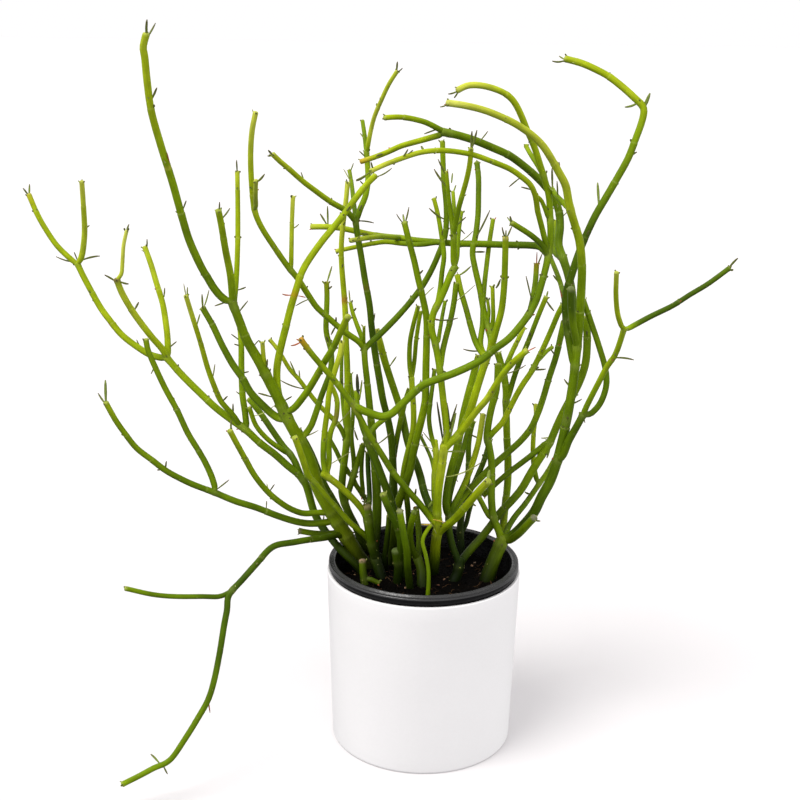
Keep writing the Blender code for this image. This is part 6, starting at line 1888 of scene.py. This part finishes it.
def corner_paint(name):
    """A new material, its node tree and shader, and the colour and grain place at a piece's corners."""
    material, tree, shader = node_tree(name)
    tint = attribute_socket(tree, "tint", "Color")
    grain = attribute_socket(tree, "grain", "Vector")
    return material, tree, shader, tint, grain


def coated(tree, shader, colour, roughness, specular):
    """Gives the shader its colour and roughness, and its specular level as a plain value."""
    tree.links.new(colour, shader.inputs["Base Color"])
    tree.links.new(roughness, shader.inputs["Roughness"])
    shader.inputs["Specular IOR Level"].default_value = specular


def skin_material(name, roughness, dot_share):
    """Waxy green skin with faint lengthwise lines and pale dots, partly painted highlight streaks and glints,
    and a soft sheen.
    """
    material, tree, shader, tint, grain = corner_paint(name)
    # Lengthwise lines: partly fine striations, partly painted highlight streaks
    lines = noise_between(tree, stretched(tree, grain, (1.5, 1.5, 0.07)), 1.0, 3.0, 0.80, 1.18)
    clouds = noise_between(tree, stretched(tree, grain, (0.10, 0.10, 0.06)), 1.0, 4.0, 0.82, 1.16)
    fine = noise_between(tree, grain, 2.6, 2.0, 0.94, 1.06)
    colour = scaled_colour(tree, tint, times(tree, times(tree, lines, clouds), fine))
    # Pale dots: partly painted glints
    pale = scaled_colour(tree, tint, noise_between(tree, grain, 0.5, 1.0, 1.6, 2.1))
    pale_dots_and_glints = times(tree, dots(tree, stretched(tree, grain, (1.0, 1.0, 0.6)), 0.36, 0.17),
                  noise_between(tree, grain, 0.3, 1.0, 0.0, dot_share))
    sheen = noise_between(tree, grain, 0.35, 3.0, roughness - SKIN_SHINIER, roughness + SKIN_DULLER)
    coated(tree, shader, blended(tree, pale_dots_and_glints, colour, pale), sheen, SKIN_SPECULAR)
    bumped(tree, shader, lines, 0.35, 0.0006)
    return material


def leaf_material():
    """Leaf and scar skin, mottled and a little rough."""
    material, tree, shader, tint, grain = corner_paint("leaf_and_scar_skin")
    shade = noise_between(tree, grain, 1.4, 3.0, 0.72, 1.3)
    roughness = noise_between(tree, grain, 0.8, 2.0, 0.5, 0.7)
    coated(tree, shader, scaled_colour(tree, tint, shade), roughness, LEAF_SPECULAR)
    bumped(tree, shader, shade, 0.3, 0.0004)
    return material


def glaze_material():
    """Satin white glaze, a little uneven, with a few faint specks."""
    material, tree, shader, tint, grain = corner_paint("white_satin_glaze")
    shade = times(tree, noise_between(tree, grain, 0.012, 2.0, 0.985, 1.01),
                  noise_between(tree, grain, 0.35, 4.0, 0.992, 1.006))
    specks = times(tree, dots(tree, grain, 0.055, 0.035), noise_between(tree, grain, 0.2, 1.0, 0.0, 0.5))
    colour = blended(tree, specks, scaled_colour(tree, tint, shade), GLAZE_SPECK_COLOUR)
    coated(tree, shader, colour, noise_between(tree, grain, 0.08, 4.0, 0.36, 0.46), GLAZE_SPECULAR)
    bumped(tree, shader, noise_between(tree, grain, 0.10, 3.0, 0.0, 1.0), 0.08, 0.0006)
    return material


def plastic_material(name, gloss):
    """Black moulded plastic with turned lines and pale scuffs."""
    material, tree, shader, tint, grain = corner_paint(name)
    scuffs = noise_between(tree, stretched(tree, grain, (0.10, 0.10, 1.8)), 1.0, 5.0, 0.0, 0.30, 0.54, 0.80)
    dust = noise_between(tree, grain, 0.9, 4.0, 0.0, 0.22, 0.58, 0.8)
    colour = scaled_colour(tree, tint, noise_between(tree, grain, 0.06, 3.0, 0.8, 1.4))
    colour = blended(tree, scuffs, colour, SCUFF_COLOUR)
    colour = blended(tree, dust, colour, DUST_COLOUR)
    roughness = noise_between(tree, stretched(tree, grain, (0.2, 0.2, 1.2)), 1.0, 4.0, 0.22, 0.38)
    coated(tree, shader, colour, roughness, gloss)
    lines = noise_between(tree, stretched(tree, grain, (0.3, 0.3, 2.4)), 1.0, 3.0, 0.0, 1.0)
    bumped(tree, shader, lines, 0.12, 0.0004)
    return material


def soil_material():
    """Near-black potting mix, darkened further as painted shade, with a little paler grit."""
    material, tree, shader, tint, grain = corner_paint("dark_potting_mix")
    shade = times(tree, noise_between(tree, grain, 0.9, 6.0, 0.35, 1.9),
                  noise_between(tree, grain, 0.16, 3.0, 0.6, 1.4))
    grit = noise_between(tree, grain, 2.2, 2.0, 0.0, 0.5, 0.60, 0.74)
    colour = blended(tree, grit, scaled_colour(tree, tint, shade), GRIT_COLOUR)
    coated(tree, shader, colour, noise_between(tree, grain, 0.7, 3.0, 0.78, 0.98), SOIL_SPECULAR)
    bumped(tree, shader, noise_between(tree, grain, 1.6, 5.0, 0.0, 1.0), 0.7, 0.0012)
    return material


def build_floor():
    """A wide plain pale floor, not part of the object."""
    mesh = bpy.data.meshes.new("pale_floor")
    corners = [(FLOOR_REACH * x, FLOOR_REACH * y, 0) for x, y in ((-1, -1), (1, -1), (1, 1), (-1, 1))]
    mesh.from_pydata(corners, [], [(0, 1, 2, 3)])
    floor = bpy.data.objects.new("pale_floor", mesh)
    bpy.context.scene.collection.objects.link(floor)
    material, tree, shader = node_tree("pale_floor_paint")
    place = tree.nodes.new("ShaderNodeTexCoord").outputs["Object"]
    tree.links.new(noise_between(tree, place, 3.0, 3.0, 0.90, 0.94), shader.inputs["Roughness"])
    shader.inputs["Base Color"].default_value = (*FLOOR_COLOUR, 1.0)
    shader.inputs["Specular IOR Level"].default_value = FLOOR_SPECULAR
    mesh.materials.append(material)
    floor.visible_diffuse = False
    floor.visible_glossy = False


def level_between(tree, share, low, high):
    """A level mixed by a share; each end is a socket or a plain value."""
    node = tree.nodes.new("ShaderNodeMix")
    tree.links.new(share, node.inputs["Factor"])
    for socket, value in ((node.inputs[2], low), (node.inputs[3], high)):
        if isinstance(value, float):
            socket.default_value = value
        else:
            tree.links.new(value, socket)
    return node.outputs[0]


def build_surroundings():
    """White surroundings, brighter up and to the left, dimmer below."""
    world = bpy.data.worlds.new("studio")
    world.use_nodes = True
    tree = world.node_tree
    surround = tree.nodes["Background"]
    place = tree.nodes.new("ShaderNodeTexCoord").outputs["Generated"]
    split = tree.nodes.new("ShaderNodeSeparateXYZ")
    tree.links.new(place, split.inputs["Vector"])
    towards = tree.nodes.new("ShaderNodeVectorMath")
    towards.operation = "DOT_PRODUCT"
    tree.links.new(place, towards.inputs[0])
    towards.inputs[1].default_value = Vector(SKY_FROM).normalized()
    sky = spread_value(tree, towards.outputs["Value"], *SKY_TURN, SKY_DIM, SKY_BRIGHT)
    risen = spread_value(tree, split.outputs["Z"], *SKY_RISE, 0.0, 1.0)
    level = spread_value(tree, split.outputs["Z"], *BELOW_RISE, 0.0, 1.0)
    above = level_between(tree, risen, WORLD_HORIZON, sky)
    tree.links.new(level_between(tree, level, WORLD_BELOW, above), surround.inputs["Strength"])
    surround.inputs["Color"].default_value = (*WORLD_COLOUR, 1.0)
    bpy.context.scene.world = world


def hung_lamp(name, lamp, towards):
    """Puts a lamp in the scene that shines from the given direction."""
    node = bpy.data.objects.new(name, lamp)
    bpy.context.scene.collection.objects.link(node)
    node.rotation_mode = "QUATERNION"
    node.rotation_quaternion = towards.to_track_quat("Z", "Y")
    return node


def build_lamps():
    """A soft key lamp from the upper left, and a small low fill lamp from the right."""
    lamp = bpy.data.lights.new("soft_key", "SUN")
    lamp.energy = KEY_STRENGTH
    lamp.angle = math.radians(KEY_WIDTH)
    lamp.color = KEY_COLOUR
    hung_lamp("soft_key", lamp, Vector(KEY_FROM))
    lamp = bpy.data.lights.new("side_fill", "AREA")
    lamp.shape = "DISK"
    lamp.size = FILL_SIZE
    lamp.energy = FILL_POWER
    lamp.spread = math.radians(FILL_SPREAD)
    fill = hung_lamp("side_fill", lamp, Vector(FILL_PLACE) - Vector(FILL_AIM))
    fill.location = Vector(FILL_PLACE)
    fill.visible_camera = False
    fill.visible_glossy = False


def build_camera():
    """The eye that the stems were drawn from."""
    lens = bpy.data.cameras.new("camera")
    lens.sensor_width = SENSOR_MM
    lens.lens = SENSOR_MM * EYE_FOCAL / DRAWING_SIZE
    lens.clip_start = CLIP_START
    lens.clip_end = CLIP_END
    camera = bpy.data.objects.new("camera", lens)
    bpy.context.scene.collection.objects.link(camera)
    turn = Matrix([RIGHT, UP, -FORWARD]).transposed().to_4x4()
    camera.matrix_world = Matrix.Translation(Vector(EYE * MM)) @ turn
    bpy.context.scene.camera = camera


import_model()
bpy.context.scene.view_settings.view_transform = "Standard"
skins = {
    "fresh_green_stem": skin_material("fresh_green_skin", FRESH_SKIN_ROUGHNESS, FRESH_SKIN_DOTS),
    "deep_green_stem": skin_material("deep_green_skin", DEEP_SKIN_ROUGHNESS, DEEP_SKIN_DOTS),
}
leaf_skin = leaf_material()
for number, stem in enumerate(STEMS):
    build_stem(stem, [skins[SLOTS.get(stem, FRESH_SLOT)], leaf_skin], number)
build_cover_pot(glaze_material())
glossy_plastic = plastic_material("black_glossy_plastic", RIM_GLOSS)
# A low-gloss copy of the plastic, as painted shade on the pot's outer side
shaded_side_plastic = plastic_material("black_plastic_shaded_side", SHADED_WALL_GLOSS)
build_grower_pot(glossy_plastic, shaded_side_plastic)
mix = soil_material()
build_soil(mix)
build_litter(mix)
build_floor()
build_surroundings()
build_lamps()
build_camera()
